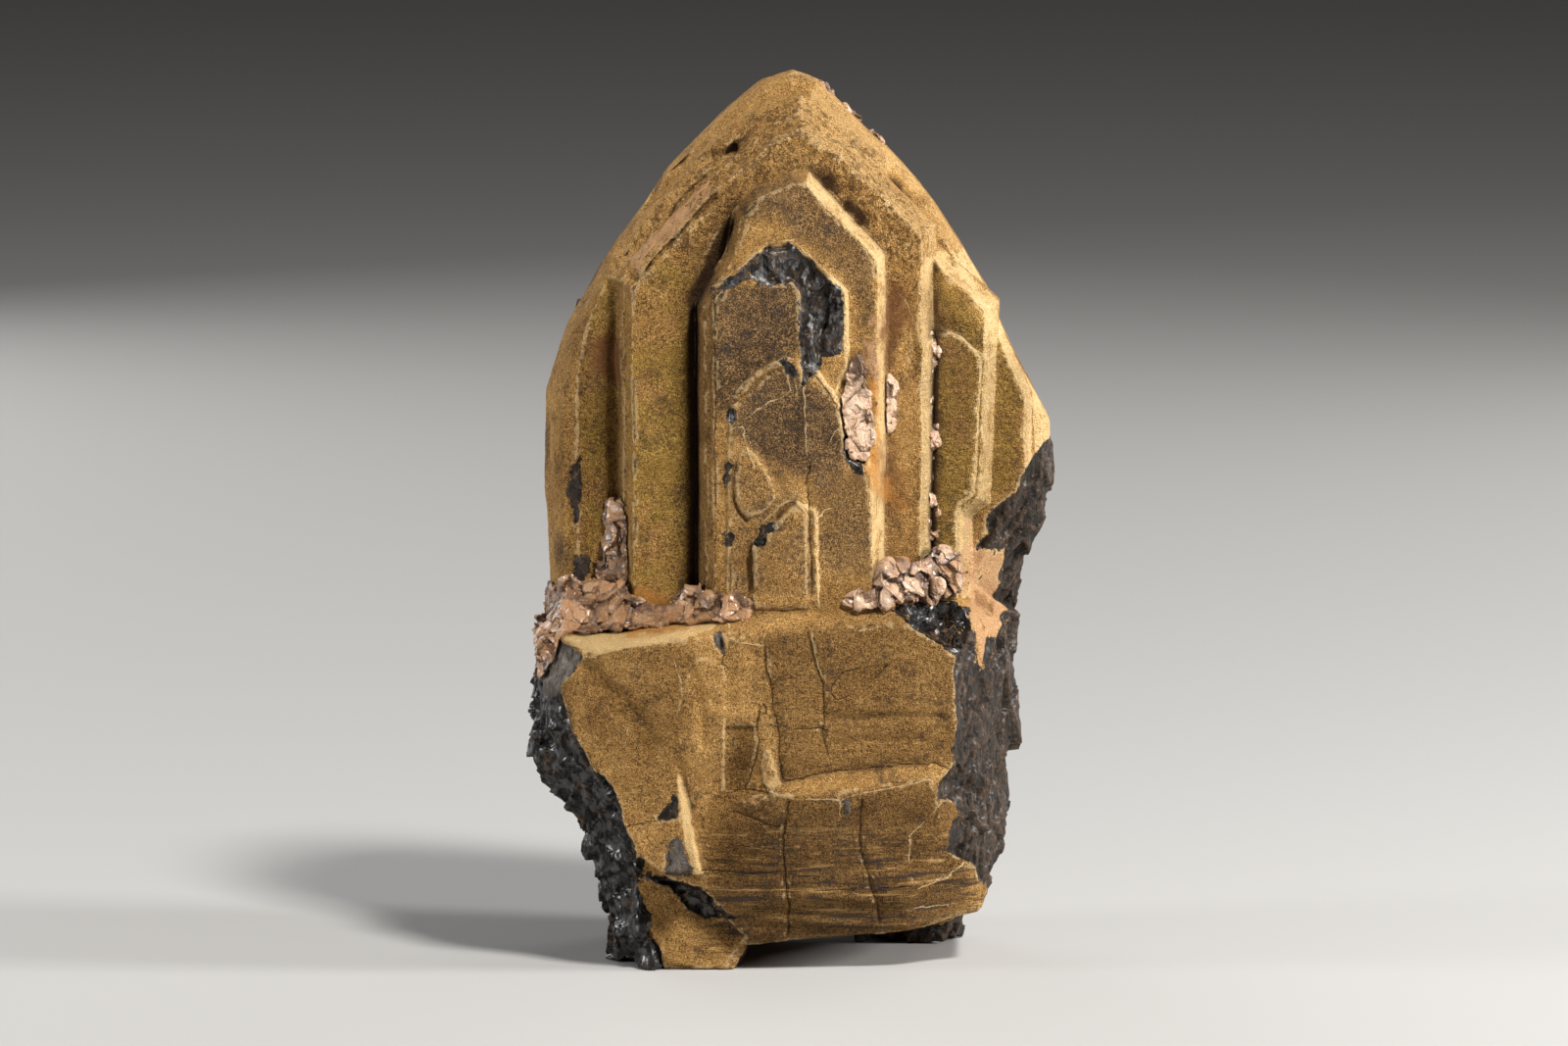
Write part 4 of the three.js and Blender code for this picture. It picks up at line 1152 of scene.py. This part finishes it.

# %% [markdown]
# ## What the material reads
# All masks are kept as one number per point, before the mesh is thinned, so the
# thinning carries them along. Crests, walls and hollows are measured on the
# finished shape: rims get paler as wear does it, the walls that face right get
# the cream coat with a painted highlight, and hollows darken with dust and
# painted shade.

# %% Masks that follow the worked shape
normal = read(mesh, "normal")
bend = np.einsum("ij,ij->i", relax(at, mean, 2, 1.0) - at, normal) / FINE
crest = at[relax(bend, mean, 1) < -0.16]
behind = np.maximum(step(y, -2, 4), step(-x, 23, 25))
print(len(crest), "points on crests")
ashen = step(inside_any(wobble, ASHEN), -0.4, 0.4)
for name, values in {
    "bare": bare, "glassy": glassy * (1 - ashen), "crack": crack, "crack side": crack_side,
    "line": edge, "line side": edge_side,
    "strata": layered, "coarse": coarse, "flesh": flesh,
    "steel": step(inside_by(wobble, [(-12, 60), (-12, 84), (9, 84), (9, 60)], -9.0), -1, 1),
    "ashen": ashen,
    "rust": inside_any(wobble, RUSTY), "orange": inside_any(fine_wobble, ORANGE_STAINS),
    "olive": np.maximum(inside_any(wobble, OLIVE_FACES), behind * (5 * rough(at, (7, 7, 16), 42) + 1) - 4),
    "brown": np.maximum(inside_any(fine_wobble, BROWN_FACES),
                        behind * (6 * rough(at, (6, 6, 9), 43) + 1.6) - 4),
    "dark_and_shaded": np.maximum(inside_any(wobble, DARK_AND_SHADED_FACES), behind * (7 * rough(at, (8, 8, 13), 44) + 2) - 4),
    "lit_band": inside_any(fine_wobble, LIT_BANDS),
}.items():
    keep(mesh, name, values)

# %% Thin the skin where it is plain
MOST_FACES = 194000
faces = len(mesh.polygons) * 2
if faces > MOST_FACES:
    thin = crystal.modifiers.new("thin", "DECIMATE")
    thin.ratio = MOST_FACES / faces
    settle(crystal)
mesh = crystal.data
print("euxenite:", len(mesh.polygons), "faces")


# %% Crests
def away_from(spots, marks, reach=2.0):
    """Each point's distance in mm to the nearest mark, at most reach."""
    finder = KDTree(len(marks))
    for i, mark in enumerate(marks.tolist()):
        finder.insert(mark, i)
    finder.balance()
    return np.array([min(finder.find(spot)[2], reach) for spot in spots.tolist()])


keep(mesh, "crest", away_from(read(mesh), crest))

# %% Walls: the cream strips between one plate and the next, on walls facing right only
cad_tree = surface_of(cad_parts["euxenite_crystal"].data)
WALL_FOOT, WALL_BACK = 0.041, 0.004  # metres: above the ledge, and in front of the back
walls = np.zeros(len(mesh.polygons))
for i, face in enumerate(mesh.polygons):
    centre = face.center
    if centre.z < WALL_FOOT or centre.y > WALL_BACK:
        continue
    out = cad_tree.find_nearest(centre)[1]
    # Only walls facing forward and to the right, towards the lights, are marked: their cream is partly the
    # coat and partly a painted highlight.
    if out.y < -0.1 and out.x > 0.35:
        walls[i] = 1.0 if centre.z < 0.080 or centre.y < -0.011 else 0.3
layer = mesh.attributes.new("wall", "FLOAT", "FACE")
layer.data.foreach_set("value", walls.astype(np.float32))
print("wall faces:", int((walls > 0).sum()))


# %% Hollows
def hollows(piece, reach=6.0, rays=14):
    """How much of the sky each point can't see, from 0 to 1."""
    mesh = piece.data
    skin = surface_of(mesh)
    spots, normals = read(mesh), read(mesh, "normal")
    turn = np.random.default_rng(7).normal(size=(rays, 3))
    turn /= np.linalg.norm(turn, axis=1)[:, None]
    hit = np.zeros(len(spots))
    for direction in turn:
        aim = normals * 1.05 + direction
        aim /= np.linalg.norm(aim, axis=1)[:, None]
        start = (spots + normals * 0.15) * MM
        for i, (s, d) in enumerate(zip(start.tolist(), aim.tolist())):
            found = skin.ray_cast(s, d, reach * MM)[3]
            if found is not None:
                hit[i] += 1 - found / (reach * MM)
    return relax(hit / rays, neighbour_mean(mesh), 2) * 2.0


keep(mesh, "hollow", np.clip(hollows(crystal), 0, 1))
mesh.materials.clear()
mesh.materials.append(euxenite)
mesh.polygons.foreach_set("use_smooth", np.ones(len(mesh.polygons), bool))
crisp = crystal.modifiers.new("crisp", "WEIGHTED_NORMAL")
crisp.mode, crisp.weight = "FACE_AREA", 50
settle(crystal)
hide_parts("euxenite_crystal")
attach(crystal, "root")

# %% [markdown]
# ## Feldspar
# What is left of the feldspar is a crust that fills corners and grooves, not
# loose drops. Each CAD node is a row of lumps. Here the lumps are swollen until
# they meet, welded by a voxel remesh, and shrunk back, which closes the gaps
# between them. The crust is then pressed down onto the finished crystal, to a
# greatest height of its own, and given grains: small flat facets, each tilted
# its own way and sunk a little where it meets the next.


# %% One crust
crystal_tree = surface_of(crystal.data)


def crust_of(node, name, voxel, swell, thick, patchy):
    """The CAD lumps swollen together, then pressed to a crust at most thick mm high."""
    piece = skin_of(node, name, voxel)
    for move in (swell, 0.25 - swell):
        mesh = piece.data
        normal = relax(read(mesh, "normal"), neighbour_mean(mesh), 2)
        write(mesh, read(mesh) + normal * move)
        remesh(piece, voxel)
    spots = read(piece.data)
    gone = patchy * step(rough(spots, 3.4, 61), 0.30, 0.05)
    for i, spot in enumerate(spots.tolist()):
        near, out, _, _ = crystal_tree.find_nearest(Vector(spot) * MM)
        lift = Vector(spot) - near / MM
        if lift.dot(out) > 0 and lift.length > 0.05:
            height = thick * np.tanh(lift.length / thick) - 1.4 * gone[i]
            spots[i] = near / MM + out * height
    write(piece.data, relax(spots, neighbour_mean(piece.data), 2))
    remesh(piece, voxel)
    return piece


# %% Grains grown against each other
def grains(points, size, seed=0.0, tilt=0.5, drop=0.3, groove=0.1):
    """Flat tilted grains sunk along their borders, the distance to the border, and a tone."""
    height, seam, tone = np.empty((3, len(points)))
    for i, spot in enumerate((points / size + seed * 3.7).tolist()):
        distances, centres = noise.voronoi(spot)
        lean = noise.cell_vector(centres[0] * 31.7)
        seam[i] = distances[1] - distances[0]
        tone[i] = lean.y
        height[i] = tilt * (Vector(spot) - centres[0]).dot(lean - HALF) + drop * (lean.x - lean.z)
    height -= groove * np.exp(-((seam / 0.16) ** 2))
    return height * size, seam * size, tone


# %% Crumbs
def drop_crumbs(mesh, least):
    """Removes loose islands of fewer than least faces, and counts them."""
    work = bmesh.new()
    work.from_mesh(mesh)
    waiting, gone, dropped = set(work.faces), [], 0
    while waiting:
        island = [waiting.pop()]
        for face in island:
            for corner in face.verts:
                joined = waiting.intersection(corner.link_faces)
                waiting -= joined
                island += joined
        if len(island) < least:
            gone += island
            dropped += 1
    bmesh.ops.delete(work, geom=gone, context="FACES")
    work.to_mesh(mesh)
    work.free()
    return dropped


# %% Feldspar pieces
CRUMB = 80  # faces; a loose island with fewer is dropped
CRUST_VOXEL = 0.13  # mm
CRUSTS = {  # swell, greatest height, how patchy, size of the grains, how clean
    "feldspar_pocket": (1.5, 0.30, 0.0, 2.6, 1.0),
    "feldspar_grain": (1.0, 0.30, 0.0, 2.0, 1.0),
    "feldspar_seam": (1.0, 0.20, 1.0, 1.6, 0.6),
    "feldspar_ledge_right": (2.2, 1.60, 0.0, 3.4, 0.36),
    "feldspar_ledge_left": (2.2, 0.85, 0.2, 2.4, 0.08),
    "feldspar_groove_left": (1.5, 0.55, 0.2, 2.2, 0.05),
    "feldspar_roof_crust": (1.8, 0.25, 1.0, 2.0, 0.30),
}
for number, (node, (swell, thick, patchy, size, clean)) in enumerate(CRUSTS.items()):
    lump = crust_of(node, node.replace("feldspar", "matrix"), CRUST_VOXEL, swell, thick, patchy)
    mesh = lump.data
    at = read(mesh)
    facing = relax(read(mesh, "normal"), neighbour_mean(mesh), 2)
    level, seam, tone = grains(at, size, number, 0.34, 0.14, 0.04)
    chip, nick, _ = grains(at, size * 0.45, number + 9, 0.30, 0.10, 0.0)
    at = at + facing * (level + chip)[:, None]
    write(mesh, at)
    keep(mesh, "seam", np.minimum(seam, nick + 0.12))
    keep(mesh, "tone", tone)
    thin = lump.modifiers.new("thin", "DECIMATE")
    thin.ratio = 0.34
    settle(lump)
    mesh = lump.data
    print(drop_crumbs(mesh, CRUMB), "crumbs dropped")
    keep(mesh, "hollow", np.clip(hollows(lump, 2.5), 0, 1))
    keep(mesh, "clean", np.full(len(mesh.vertices), clean))
    mesh.materials.clear()
    mesh.materials.append(feldspar)
    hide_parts(node)
    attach(lump, "root")
    print(lump.name, len(mesh.polygons), "faces")

# %% [markdown]
# ## Size
# Nothing here should have made the specimen larger or smaller than the CAD.

# %% The finished box
low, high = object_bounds()
print("finished box in mm:", [round(v / MM, 1) for v in (*low, *high)])
